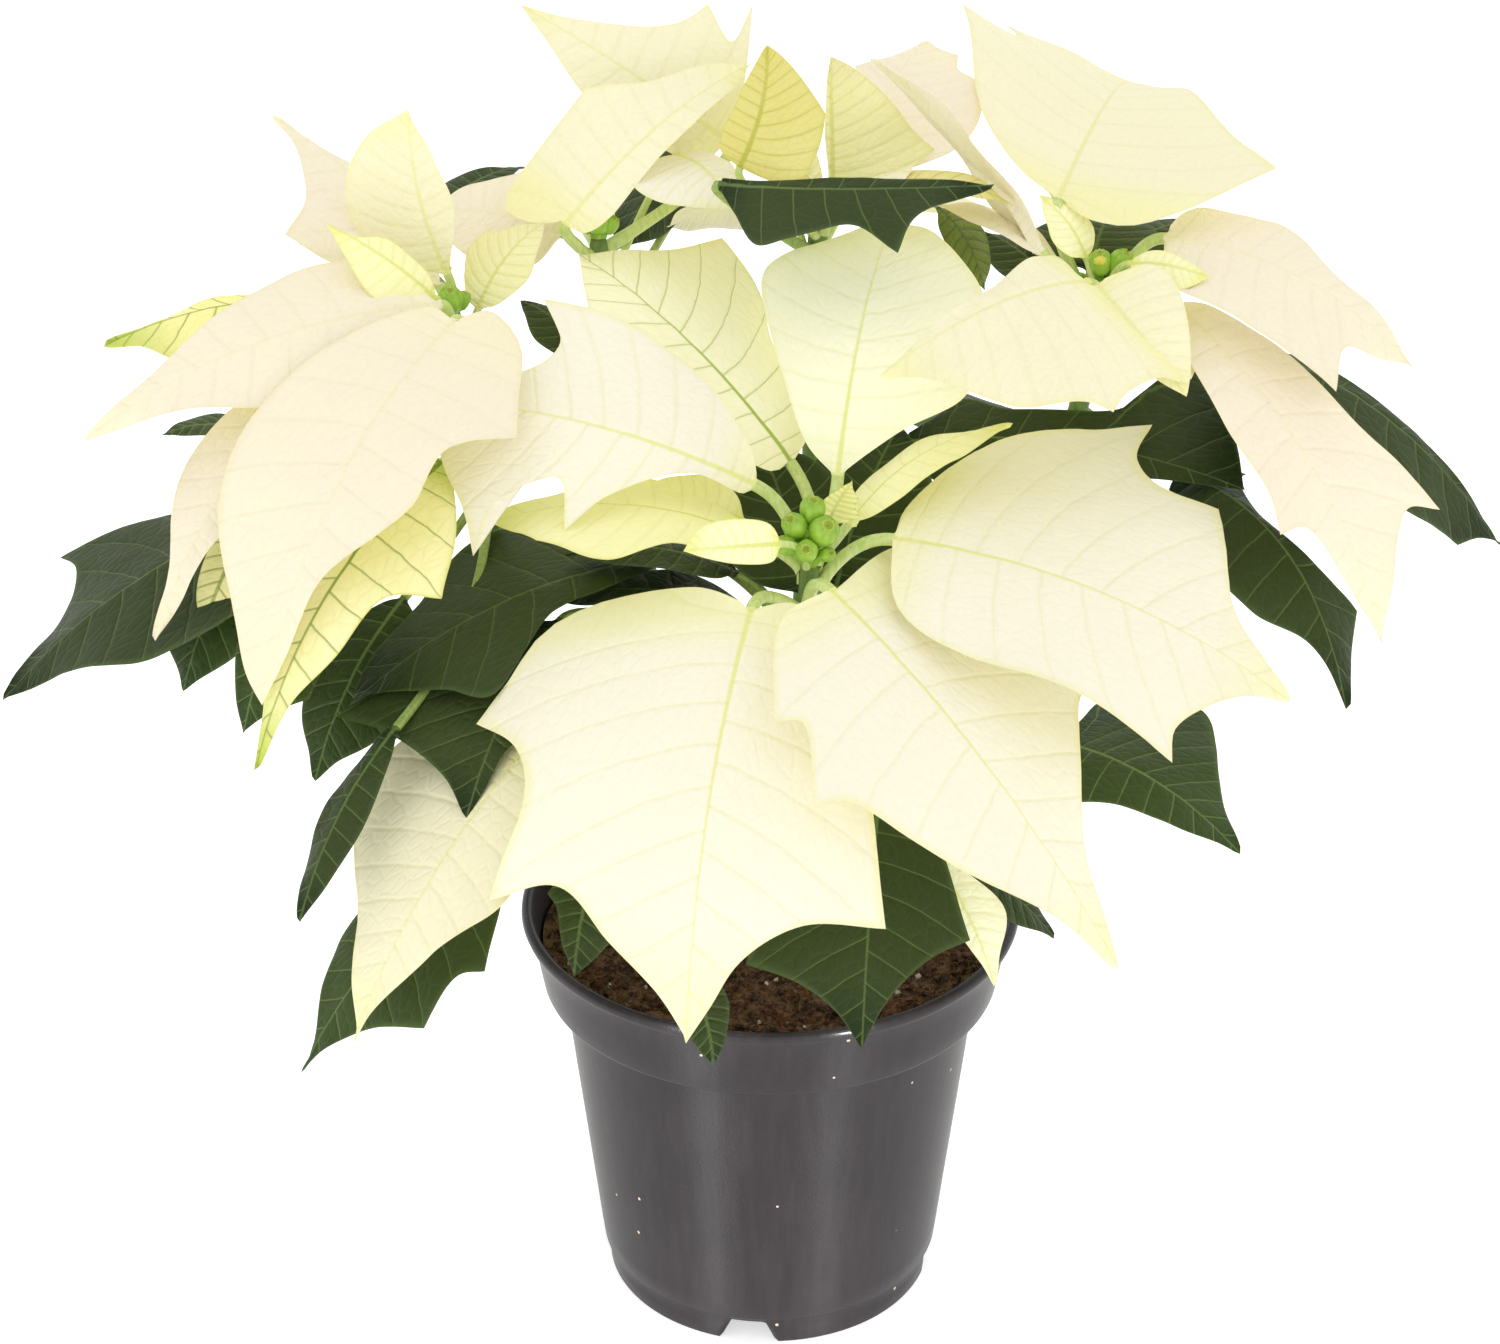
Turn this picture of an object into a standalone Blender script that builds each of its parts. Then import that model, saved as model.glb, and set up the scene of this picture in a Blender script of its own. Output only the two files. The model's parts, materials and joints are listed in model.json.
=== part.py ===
"""A cream-white poinsettia in a round nursery pot.

The foot of the pot stands on Z = 0 with the pot's axis on Z. The viewer of the
plant stands on the -Y side. Positions below are millimetres.
"""

import math

import bmesh
import bpy
import numpy as np
from mathutils import Matrix, Vector

MM = 0.001

# Pot
LIP_RADIUS = 65.0
POT_HEIGHT = 111.0
BAND_BOTTOM = 90.0
BAND_RADIUS = 59.5
WALL_TOP_RADIUS = 54.5
WALL_FOOT_RADIUS = 45.2
STEP_HEIGHT = 8.2
FOOT_RADIUS = 43.6
WALL = 1.1
PLATE_UNDERSIDE = 7.8
CENTRE_PAD_RADIUS = 14.0
PAD_DRAFT = 0.3
PAD_INSIDE_DRAFT = 0.6
FOOT_DRAFT = 0.3
LIP_ROLL = 3.6
LIP_DEPTH = 3.8
BAND_SLOPE = 0.19
POT_SEGMENTS = 48
NOTCH_BOTTOM = 14.6
NOTCH_TOP = 9.0
NOTCH_HEIGHT = 6.6
NOTCH_START = 38.0
NOTCH_DEPTH = 10.0
NOTCH_ANGLES = (-97.6, -7.6, 82.4, 172.4)
DRAIN_RADIUS = 4.0
DRAIN_CIRCLE = 28.0
DRAIN_START = 5.0
DRAIN_DEPTH = 6.0
DRAIN_SIDES = 12
DRAIN_ANGLES = (-52, 38, 128, 218)

# Soil
SOIL_TOP = 100.5
SOIL_GAP = 0.4
SOIL_MOUND = 0.6
SOIL_LEVEL_RADIUS = 30.0
SOCKET_DEPTH = 70.0
SOCKET_RADIUS = 5.6

# Stems: foot of the main stem, then where each side stem leaves it and ends
MAIN_BOTTOM = 70.4
MAIN_TOP = 141.0
MAIN_RADII = (5.0, 3.9)
BRANCH_RADII = (3.2, 2.4)
STEM_GAP = 0.5
STEM_STEPS = 9
# name: (height on the main stem, bearing in degrees, control point, top)
BRANCHES = {
    "a": (116, -71, (8, -25, 160), (9, -26, 222)),
    "b": (122, 157, (-72, 28, 150), (-81, 37, 256)),
    "c": (136, 124, (-42, 52, 168), (-44, 58, 272)),
    "d": (128, 79, (12, 54, 168), (12, 62, 276)),
    "e": (134, 30, (76, 45, 168), (84, 52, 259)),
}

# Cyathia clusters: half width of each head's cluster
CYATHIA = {"a": 7.5, "b": 3.6, "c": 3.8, "d": 3.6, "e": 5.5}
CYATHIA_LOBES = 4
CYATHIA_LOBE_DEPTH = 0.12
CYATHIA_SQUASH = 0.8

# Blades
TOOTH = 1
BRACT_THICKNESS = 0.5
LEAF_THICKNESS = 0.6
BRACT_STALK = 1.5
LEAF_STALK = 1.4
STALK_RINGS = 5
STALK_BEND_LEAST = 0.16
STALK_BEND_MOST = 0.5
STALK_SINK = 0.4
STALK_REACH_LEAST = 4.0
VEIN_LEAN = 1.3
VEIN_BEND = 0.45
VEIN_BEND_GAIN = 1.1
FAN_SHARE = 0.1
MARGIN_DIP = 0.07
SHORT_ROWS = 5
MM_PER_ROW = 22

COLOURS = {
    "plastic": ((0.030, 0.029, 0.033), 0.45),
    "peat": ((0.055, 0.028, 0.018), 0.95),
    "stem": ((0.32, 0.45, 0.12), 0.50),
    "cyathia": ((0.35, 0.55, 0.06), 0.45),
    "cream": ((0.92, 0.88, 0.66), 0.60),
    "lemon": ((0.84, 0.85, 0.35), 0.55),
    "veined": ((0.72, 0.78, 0.32), 0.55),
    "leaf": ((0.018, 0.055, 0.025), 0.45),
}

SPECS = []


def blade(name, colour, stem, drop, base, tip, left, right, **shape):
    """Notes down one leaf or bract.

    It leaves its stem `drop` millimetres below the stem's top. Its blade runs
    from base to tip. The margins are given as (x, y) shares of that length,
    measured along the midrib and out from it, and TOOTH marks a sharp lobe.
    """
    spec = dict(name=name, colour=colour, stem=stem, drop=drop, left=left, right=right)
    spec.update(base=base, tip=tip, arch=0.1, bend=0.0, skew=0.0, roll=0, fold=5, curl=0)
    spec.update(shape)
    SPECS.append(spec)


# Head A, in front
blade("bract_a1", "cream", "a", 13, (-5, -46, 219), (-20, -113, 141),
      [(-.03, .10), (.12, .28), (.44, .36), (.72, .42, TOOTH), (.73, .24), (.82, .11), (.92, .05)],
      [(-.06, .17), (.02, .50), (.17, .58), (.28, .64, TOOTH), (.37, .50), (.50, .45),
       (.77, .52, TOOTH), (.71, .34), (.81, .20), (.90, .08)], arch=.145, fold=4, curl=18)
blade("bract_a2", "cream", "a", 10, (14, -46, 224), (80, -100, 153),
      [(-.07, .29), (-.04, .45), (.13, .59), (.29, .51), (.45, .55, TOOTH), (.49, .40),
       (.76, .12), (.90, .04)],
      [(.02, .17), (.20, .36, TOOTH), (.23, .31), (.39, .43, TOOTH), (.41, .36), (.52, .29),
       (.70, .18), (.88, .06)], arch=.08, bend=.03, fold=2, curl=12)
blade("bract_a3", "cream", "a", 7, (29, -26, 228), (124, -46, 194),
      [(.00, .13), (.13, .46), (.25, .57), (.37, .65), (.49, .79, TOOTH), (.48, .58), (.57, .50),
       (.71, .51, TOOTH), (.75, .35), (.81, .18), (.92, .05)],
      [(.07, .23), (.25, .32), (.55, .33), (.78, .37, TOOTH), (.76, .28), (.83, .15), (.93, .05)],
      arch=.09, fold=2, curl=8, roll=15)
blade("bract_a4", "lemon", "a", 1, (18, -18, 228), (59, 3, 245),
      [(.08, .13), (.31, .24), (.66, .20), (.88, .08)],
      [(.09, .10), (.33, .20), (.76, .14)], arch=.115, fold=10, roll=-9)
blade("bract_a5", "cream", "a", 4, (16, -6, 235), (31, 59, 277),
      [(.09, .11), (.30, .22), (.43, .28), (.74, .37), (.88, .26)],
      [(.15, .17), (.29, .36), (.50, .40), (.77, .32), (.94, .15)], arch=.1, fold=6, roll=-3)
blade("bract_a6", "veined", "a", 10, (5, 5, 234), (-49, 51, 271),
      [(.00, .08), (.15, .22), (.39, .29), (.68, .28, TOOTH), (.81, .16)],
      [(.06, .13), (.24, .21), (.40, .29), (.56, .41), (.83, .51, TOOTH), (.88, .32), (.93, .13)],
      arch=.06, fold=2)
blade("bract_a7", "cream", "a", 7, (-4, -15, 237), (-84, 10, 247),
      [(.02, .04), (.17, .05), (.37, .19), (.46, .32, TOOTH), (.52, .18), (.58, .20), (.71, .31),
       (.72, .45, TOOTH), (.79, .32), (.91, .18)],
      [(.04, .09), (.20, .26), (.45, .36), (.81, .42, TOOTH), (.68, .25), (.76, .14), (.91, .10)],
      arch=.13, fold=6, curl=10, roll=-38)
blade("bract_a8", "lemon", "a", 2, (-6, -21, 227), (-70, -8, 223),
      [(.10, .20), (.23, .23), (.31, .29), (.43, .38), (.73, .27, TOOTH), (.88, .11)],
      [(.20, .21), (.56, .25), (.82, .17)], arch=.1, fold=5)

# Head B, on the left
blade("bract_b1", "cream", "b", 9, (-78, 18, 266), (-122, -46, 193),
      [(-.06, .05), (-.01, .17), (.15, .27), (.24, .32, TOOTH), (.33, .19), (.48, .18), (.57, .14),
       (.71, .06), (.88, .03)],
      [(-.01, .07), (.04, .11), (.25, .24), (.44, .28), (.64, .25), (.74, .20), (.85, .12), (.95, .05)],
      arch=.16, fold=0, curl=10, roll=-12)
blade("bract_b2", "cream", "b", 4, (-82, 29, 266), (-170, 10, 237),
      [(.14, .11), (.43, .20), (.71, .10), (.85, .05)],
      [(.08, .10), (.18, .19), (.31, .21), (.46, .17), (.62, .12), (.80, .06)],
      arch=.135, fold=6, curl=8, roll=-32)
blade("bract_b3", "cream", "b", 12, (-110, 22, 248), (-150, -26, 200),
      [(.21, .23), (.47, .15), (.64, .08), (.86, .04)],
      [(.11, .19), (.36, .26), (.60, .17), (.82, .06)], arch=.12, fold=8)
blade("bract_b4", "lemon", "b", 1, (-82, 46, 267), (-90, 50, 309),
      [(.08, .18), (.22, .36), (.39, .47), (.62, .45), (.84, .27), (.95, .09)],
      [(.10, .09), (.26, .18), (.51, .23), (.72, .16), (.88, .07)], arch=.02, bend=-.05, fold=-6, roll=-88)
blade("bract_b6", "cream", "b", 7, (-84, 52, 262), (-130, 92, 293),
      [(.07, .13), (.26, .36), (.42, .44, TOOTH), (.53, .25), (.69, .13), (.85, .05)],
      [(.15, .08), (.37, .10), (.60, .05)], arch=.08, fold=6)
blade("bract_b7", "veined", "b", 16, (-101, 59, 252), (-167, 30, 254),
      [(.08, .14), (.21, .30), (.60, .42), (.84, .24, TOOTH), (.91, .11)],
      [(.08, .16), (.44, .15), (.72, .05)], arch=.1, fold=8)
blade("bract_b8", "veined", "b", 22, (-81, 0, 236), (-124, -53, 179),
      [(.04, .08), (.20, .23), (.38, .32, TOOTH), (.45, .16), (.66, .11), (.82, .05)],
      [(.05, .06), (.16, .10), (.42, .12), (.67, .10), (.83, .06)], arch=.12, fold=8)

# Head C, back left
blade("bract_c1", "cream", "c", 3, (-11, 78, 291), (-65, 104, 319),
      [(.04, .13), (.24, .18), (.53, .18), (.82, .07)],
      [(.06, .20), (.23, .51, TOOTH), (.21, .33), (.37, .40, TOOTH), (.42, .28), (.67, .10)],
      arch=.08, fold=4, roll=-48)
blade("bract_c2", "cream", "c", 6, (-52, 50, 279), (-5, 84, 310),
      [(-.08, .13), (-.10, .28), (.07, .31, TOOTH), (.19, .33), (.44, .35, TOOTH), (.60, .22), (.83, .12)],
      [(.02, .08), (.13, .12), (.45, .09), (.65, .08), (.87, .05)], arch=.12, fold=10, roll=30)
blade("bract_c3", "cream", "c", 14, (-24, 74, 289), (-9, 47, 284),
      [(.10, .20), (.40, .26), (.80, .16)],
      [(.04, .30), (.25, .58), (.62, .64), (.90, .30)], arch=.1, fold=4)
blade("bract_c4", "cream", "c", 10, (-53, 62, 272), (-90, 84, 270),
      [(.07, .28), (.44, .34), (.80, .16)],
      [(.10, .28), (.33, .39), (.71, .26), (.89, .14)], arch=.08, fold=4, roll=-30)

# Head D, at the back
blade("bract_d1", "veined", "d", 2, (-8, 50, 294), (-1, 66, 320.5),
      [(.05, .20), (.22, .25), (.62, .18), (.86, .09)],
      [(.02, .36), (.08, .58), (.26, .60), (.50, .57, TOOTH), (.70, .33), (.90, .12)],
      arch=.02, bend=.08, fold=-8)
blade("bract_d3", "lemon", "d", 1, (16, 67, 281), (15, 71, 316),
      [(.10, .03), (.50, .05), (.80, .03)],
      [(.03, .30), (.12, .55), (.27, .76, TOOTH), (.40, .62), (.67, .42), (.88, .20), (.95, .10)],
      arch=0, fold=-4)
blade("bract_d4", "cream", "e", 2, (69, 47, 273), (25, 75, 314),
      [(.10, .05), (.28, .11), (.60, .10), (.90, .05)],
      [(.10, .05), (.28, .10), (.66, .05), (.90, .03)], arch=.04, fold=4, roll=62)
blade("bract_d5", "cream", "d", 7, (21, 76, 282), (41, 112, 307),
      [(.10, .10), (.30, .16), (.55, .18), (.72, .30, TOOTH), (.80, .13), (.92, .06)],
      [(.10, .28), (.30, .50), (.54, .54), (.76, .44), (.84, .28), (.96, .22, TOOTH), (.95, .10)],
      arch=.1, fold=8)

# Head E, on the right
blade("bract_e1", "cream", "e", 4, (73, 60, 282), (100, 146, 284),
      [(.03, .10), (.18, .30), (.48, .45), (.69, .53, TOOTH), (.74, .35), (.82, .41, TOOTH),
       (.86, .26), (.95, .09)],
      [(-.04, .12), (-.03, .24), (.08, .40), (.24, .56, TOOTH), (.35, .43), (.62, .25), (.88, .10)],
      arch=.12, fold=-10, roll=12)
blade("bract_e2", "cream", "e", 4, (100, 55, 274), (161, 28, 249),
      [(.00, .18), (.05, .26), (.30, .28), (.57, .15), (.81, .07)],
      [(.06, .16), (.15, .29), (.40, .32), (.83, .38, TOOTH), (.77, .18), (.90, .08)],
      arch=.12, fold=6, roll=12)
blade("bract_e3", "cream", "e", 8, (102, 40, 261), (151, -15, 193),
      [(.04, .08), (.17, .14), (.46, .18), (.64, .27), (.78, .33, TOOTH), (.74, .23), (.80, .14),
       (.90, .07)],
      [(.04, .06), (.13, .10), (.36, .14), (.55, .14), (.66, .17, TOOTH), (.67, .10), (.80, .05)],
      arch=.14, fold=4, curl=8, roll=10)
blade("bract_e4", "cream", "e", 6, (79, 34, 270), (25, -20, 267),
      [(-.14, .14), (-.18, .30), (-.12, .45), (.04, .48, TOOTH), (.12, .45), (.32, .47), (.46, .52, TOOTH),
       (.52, .46), (.72, .36), (.83, .21), (.92, .08)],
      [(-.06, .17), (.12, .15), (.42, .08), (.76, .04)], arch=.1, fold=4, curl=6, roll=-22)

# A pale bract and the green leaves that the photograph's side shows
blade("bract_w1", "cream", "a", 40, (-58, -48, 184), (-100, -86, 123),
      [(.05, .10), (.19, .19), (.43, .27), (.66, .14), (.85, .05)],
      [(.00, .28), (.16, .47), (.34, .48, TOOTH), (.53, .36), (.77, .15), (.90, .06)], arch=.07, fold=6)
blade("leaf_l1", "leaf", "a", 24, (-21, 8, 207), (-104, -26, 182),
      [(.08, .05), (.27, .09), (.42, .14), (.69, .36), (.78, .21), (.93, .04)],
      [(-.01, .20), (.14, .31), (.45, .40), (.76, .21), (.93, .08)], arch=.1, fold=4)
blade("leaf_l2", "leaf", "a", 32, (-52, -14, 200), (-73, -60, 170),
      [(.05, .15), (.23, .35), (.59, .25, TOOTH), (.66, .10), (.88, .04)],
      [(.05, .12), (.20, .32), (.50, .60), (.69, .78, TOOTH), (.73, .49), (.85, .18)], arch=.1, fold=6)
blade("leaf_l3", "leaf", "main", 8, (-67, -40, 149), (-115, -72, 105),
      [(.03, .08), (.12, .20), (.33, .40, TOOTH), (.40, .34), (.61, .38, TOOTH), (.73, .18), (.88, .06)],
      [(.05, .10), (.20, .23), (.55, .24), (.69, .16), (.85, .05)], arch=.1, fold=6)
blade("leaf_l4", "leaf", "b", 26, (-118, 16, 218), (-193, -8, 174),
      [(.06, .15), (.21, .39), (.54, .37), (.84, .12)],
      [(.13, .24), (.33, .32), (.50, .42), (.71, .52, TOOTH), (.67, .36), (.77, .16), (.90, .06)],
      arch=.08, fold=6)
blade("leaf_l6", "leaf", "b", 34, (-105, -10, 225), (-128, -40, 182),
      [(.10, .12), (.39, .32), (.77, .28, TOOTH), (.89, .10)],
      [(.10, .05), (.38, .07), (.64, .19), (.85, .10)], arch=.1, fold=6)
blade("leaf_l7", "leaf", "b", 44, (-93, 10, 194), (-114, -21, 158),
      [(.08, .14), (.24, .34), (.71, .27), (.90, .08)],
      [(.08, .10), (.30, .24), (.74, .20), (.90, .08)], arch=.1, fold=6)
blade("leaf_r1", "leaf", "a", 26, (35, 46, 221), (121, 29, 215),
      [(.05, .08), (.13, .18), (.29, .12), (.59, .17), (.71, .32), (.79, .47), (.92, .26)],
      [(.03, .06), (.10, .15), (.32, .26), (.60, .12), (.85, .04)], arch=.1, fold=6, roll=25)
blade("leaf_r2", "leaf", "e", 30, (106, 41, 215), (144, -11, 173),
      [(.00, .30), (.12, .14), (.26, .07), (.53, .06), (.75, .20, TOOTH), (.90, .09)],
      [(.05, .12), (.32, .28), (.63, .22), (.79, .08)], arch=.2, fold=15)
blade("leaf_r3", "leaf", "e", 22, (123, 66, 241), (189, 36, 196),
      [(.13, .06), (.25, .07), (.58, .06), (.85, .03)],
      [(.06, .15), (.19, .37), (.62, .36), (.90, .19, TOOTH), (.94, .07)], arch=.1, fold=6)
blade("leaf_r4", "leaf", "a", 58, (72, -20, 169), (114, -50, 154),
      [(-.04, .25), (-.08, .57), (.31, .80), (.68, .32), (.88, .10)],
      [(.04, .12), (.22, .43), (.47, .26), (.81, .14), (.92, .05)], arch=.1, fold=6)
blade("leaf_f1", "leaf", "a", 38, (26, -52, 176), (21, -96, 128),
      [(.04, .06), (.18, .20), (.59, .37, TOOTH), (.67, .23), (.82, .09)],
      [(.04, .10), (.16, .28), (.73, .44, TOOTH), (.79, .24), (.89, .09)], arch=.1, fold=6)
blade("leaf_d1", "leaf", "d", 9, (-13, 38, 294), (54, 24, 299),
      [(.15, .05), (.50, .06), (.80, .04)],
      [(.08, .14), (.19, .30), (.30, .26), (.50, .17), (.69, .31, TOOTH), (.73, .17), (.84, .08)],
      arch=-.02, fold=6, roll=20)
blade("leaf_b1", "leaf", "b", 12, (-89, 85, 268), (-65, 112, 272),
      [(.10, .12), (.40, .20), (.70, .08)], [(.14, .07), (.43, .29), (.75, .12)], arch=.1, fold=6)
blade("leaf_c1", "leaf", "c", 24, (-13, 96, 290), (-41, 80, 260),
      [(.10, .12), (.42, .30), (.72, .35), (.90, .12)],
      [(.08, .10), (.26, .28), (.71, .31), (.90, .12)], arch=.07, fold=6)

# The far side, out of the photograph's sight
blade("bract_rear_c", "cream", "c", 8, (-52, 89, 267), (-84, 150, 232),
      [(-.04, .16), (.10, .36), (.30, .44, TOOTH), (.40, .34), (.62, .36, TOOTH), (.72, .18), (.88, .06)],
      [(-.04, .16), (.12, .34), (.36, .42, TOOTH), (.46, .33), (.66, .32, TOOTH), (.76, .14), (.90, .05)],
      arch=.12, fold=4, curl=12)
blade("bract_rear_d", "cream", "d", 15, (16, 88, 272), (30, 164, 232),
      [(-.05, .15), (.10, .34), (.34, .44, TOOTH), (.44, .34), (.66, .32, TOOTH), (.75, .16), (.90, .05)],
      [(-.04, .16), (.12, .36), (.32, .42, TOOTH), (.42, .33), (.60, .35, TOOTH), (.72, .16), (.88, .06)],
      arch=.12, fold=4, curl=12)
blade("leaf_rear_1", "leaf", "c", 40, (-48, 98, 214), (-72, 168, 168),
      [(.00, .14), (.14, .34), (.34, .42, TOOTH), (.44, .32), (.64, .28), (.84, .10)],
      [(.00, .14), (.16, .36), (.38, .44, TOOTH), (.48, .33), (.66, .27), (.85, .09)], arch=.12, fold=8)
blade("leaf_rear_2", "leaf", "d", 44, (34, 104, 212), (62, 166, 160),
      [(.00, .14), (.15, .36), (.36, .43, TOOTH), (.46, .33), (.66, .28), (.85, .10)],
      [(.00, .14), (.14, .34), (.33, .42, TOOTH), (.43, .32), (.64, .28), (.84, .10)], arch=.12, fold=8)
blade("leaf_rear_3", "leaf", "b", 48, (-106, 66, 212), (-160, 102, 172),
      [(.00, .14), (.15, .36), (.36, .43, TOOTH), (.46, .33), (.66, .28), (.85, .10)],
      [(.00, .14), (.14, .34), (.33, .42, TOOTH), (.43, .32), (.64, .28), (.84, .10)], arch=.12, fold=8)


def local_axes(spec):
    """Length, and the blade's own axes: X to the tip, Y to its left, Z out of its upper face."""
    base, tip = np.array(spec["base"], float), np.array(spec["tip"], float)
    along = tip - base
    length = np.linalg.norm(along)
    along = along / length
    up = np.array([0, 0, 1.0]) - along[2] * along
    up = up / np.linalg.norm(up)
    left = np.cross(up, along)
    roll = math.radians(spec["roll"])
    tilted = up * math.cos(roll) - left * math.sin(roll)
    return length, np.array([along, np.cross(tilted, along), tilted])


def midrib(spec, u):
    """Points and unit tangents of the midrib, a quadratic Bezier curve, per unit of length."""
    reach, rise, swing = 0.5 + spec["skew"], 2 * spec["arch"], -2 * spec["bend"]
    pull = 2 * u * (1 - u)
    points = np.stack([pull * reach + u * u, pull * swing, pull * rise], -1)
    slope = 2 * (1 - 2 * u)
    tangents = np.stack([slope * reach + 2 * u, slope * swing, slope * rise], -1)
    return points, tangents / np.linalg.norm(tangents, axis=-1, keepdims=True)


def cross_axes(tangents):
    """Left and upward unit vectors square to the midrib."""
    left = np.cross([0.0, 0.0, 1.0], tangents)
    left /= np.linalg.norm(left, axis=-1, keepdims=True)
    return left, np.cross(tangents, left)


def blade_point(spec, x, y):
    """Blade surface at x along and y out from the midrib (left positive), as shares of the length.

    Each half hangs by the fold angle at the midrib and bends further by the
    curl angle over half a length, so a section is an arc.
    """
    points, tangents = midrib(spec, x)
    left, up = cross_axes(tangents)
    out = np.abs(y)
    bow = np.radians(spec["curl"]) * out / 0.5
    hang = np.radians(spec["fold"]) + bow / 2
    chord = out * np.sinc(bow / 2 / np.pi)
    points = points + left * (chord * np.cos(hang) * np.sign(y))[..., None]
    return points - up * (chord * np.sin(hang))[..., None], up


def smooth_run(knots, steps):
    """A centripetal Catmull-Rom curve through the knots, in `steps` pieces."""
    knots = np.array(knots, float)
    if len(knots) == 2:
        chord = knots[1] - knots[0]
        inward = np.array([chord[1], -chord[0]])
        inward = inward * (-1 if inward[1] > 0 else 1)
        knots = np.array([knots[0], knots.mean(axis=0) + MARGIN_DIP * inward, knots[1]])
    ends = [2 * knots[0] - knots[1]], [2 * knots[-1] - knots[-2]]
    knots = np.vstack([ends[0], knots, ends[1]])
    times = np.concatenate([[0], np.cumsum(np.linalg.norm(np.diff(knots, axis=0), axis=1) ** 0.5)])
    found = []
    for time in np.linspace(times[1], times[-2], steps + 1):
        i = min(max(np.searchsorted(times, time, side="right") - 1, 1), len(knots) - 3)
        level = [(times[k], times[k], knots[k]) for k in range(i - 1, i + 3)]
        while len(level) > 1:
            level = [(a[0], b[1], ((b[1] - time) * a[2] + (time - a[0]) * b[2]) / (b[1] - a[0]))
                     for a, b in zip(level, level[1:])]
            if len(level) == 2:
                start, end = times[i], times[i + 1]
                found.append(((end - time) * level[0][2] + (time - start) * level[1][2]) / (end - start))
                break
    return np.array(found)


def margin(side, rows, half_stalk):
    """rows + 1 points along one margin, with a row on each tooth."""
    knots = [(0, half_stalk, TOOTH)] + list(side) + [(1, 0, TOOTH)]
    runs, current = [], [knots[0][:2]]
    for knot in knots[1:]:
        current.append(knot[:2])
        if len(knot) == 3:
            runs.append(current)
            current = [knot[:2]]
    lengths = np.array([np.linalg.norm(np.diff(np.array(run), axis=0), axis=1).sum() for run in runs])
    wish = lengths / lengths.sum() * rows
    steps = np.maximum(1, np.round(wish)).astype(int)
    while steps.sum() > rows:
        steps[np.argmax(steps - wish)] -= 1
    while steps.sum() < rows:
        steps[np.argmin(steps - wish)] += 1
    pieces = [smooth_run(run, count)[1:] for run, count in zip(runs, steps) if count]
    return np.vstack([[knots[0][:2]]] + pieces)


def vein_place(start, out):
    """How far along the blade a side vein is, `out` from the midrib, which it leaves at `start`."""
    return start + VEIN_LEAN * start * start * out + (VEIN_BEND + VEIN_BEND_GAIN * start) * out * out


def vein_start(along, out):
    """Where the side vein through a point leaves the midrib: the root of vein_place, a quadratic."""
    linear = 1 + VEIN_BEND_GAIN * out * out
    rest = along - VEIN_BEND * out * out
    return 2 * rest / (linear + np.sqrt(np.maximum(linear ** 2 + 4 * VEIN_LEAN * out * rest, 0)))


def stem_at(name, drop):
    """Centre and radius of a stem `drop` below its top."""
    if name == "main":
        height = MAIN_TOP - drop
        share = (height - MAIN_BOTTOM) / (MAIN_TOP - MAIN_BOTTOM)
        return np.array([0, 0, height]), np.interp(share, [0, 1], MAIN_RADII)
    path, radii = branch_path(name, 33)
    height = path[-1, 2] - drop
    centre = np.array([np.interp(height, path[:, 2], path[:, k]) for k in range(3)])
    return centre, np.interp(height, path[:, 2], radii)


def branch_path(name, count):
    """Points along a side stem, a quadratic Bezier curve clear of the main stem, and its radii."""
    height, bearing, control, top = BRANCHES[name]
    out = np.array([math.cos(math.radians(bearing)), math.sin(math.radians(bearing)), 0])
    control, top = np.array(control, float), np.array(top, float)
    lean = control - np.array([0, 0, height])
    steep = lean[2] / np.linalg.norm(lean)
    share = (height - MAIN_BOTTOM) / (MAIN_TOP - MAIN_BOTTOM)
    start = np.interp(share, [0, 1], MAIN_RADII) + STEM_GAP + BRANCH_RADII[0] * steep
    foot = out * start + [0, 0, height]
    t = np.linspace(0, 1, count)[:, None]
    path = (1 - t) ** 2 * foot + 2 * t * (1 - t) * control + t * t * top
    return path, np.linspace(*BRANCH_RADII, count)


def stalk(spec, length, axes, radius):
    """Rings of the petiole, from the stem to the blade, in the blade's own axes."""
    centre, stem_radius = stem_at(spec["stem"], spec["drop"])
    base = np.array(spec["base"], float)
    _, start = midrib(spec, np.zeros(1))
    tangent = start[0] @ axes
    gap = np.linalg.norm(base - centre)
    straight = max(0.0, float(tangent @ (base - centre)) / gap)
    control = base - tangent * gap * (STALK_BEND_LEAST + (STALK_BEND_MOST - STALK_BEND_LEAST) * straight)
    out = (control - centre) * [1, 1, 0.0]
    if np.linalg.norm(out) < STALK_REACH_LEAST:
        out = (base - centre) * [1, 1, 0.0]
    out = out / np.linalg.norm(out)
    toward = (control - centre) / np.linalg.norm(control - centre)
    spread = math.sqrt(max(0.0, 1 - float(toward @ out) ** 2))
    foot = centre + out * (stem_radius + STEM_GAP + radius * spread)
    t = np.linspace(1, 0, STALK_RINGS)
    path = ((1 - t) ** 2)[:, None] * foot + (2 * t * (1 - t))[:, None] * control + (t * t)[:, None] * base
    ways = (2 * (1 - t))[:, None] * (control - foot) + (2 * t)[:, None] * (base - control)
    path = (path - base) @ axes.T
    ways = ways @ axes.T
    ways /= np.linalg.norm(ways, axis=1, keepdims=True)
    side = np.array([0.0, 1.0, 0.0])
    rings = []
    angles = np.radians([180, 135, 90, 45, 0, -45, -90, -135])
    for point, way in zip(path, ways):
        side = side - (side @ way) * way
        side /= np.linalg.norm(side)
        up = np.cross(way, side)
        ring = point - up * radius * STALK_SINK - np.outer(np.cos(angles), side) * radius
        rings.append(ring + np.outer(np.sin(angles), up) * radius)
    return rings[::-1]


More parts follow.
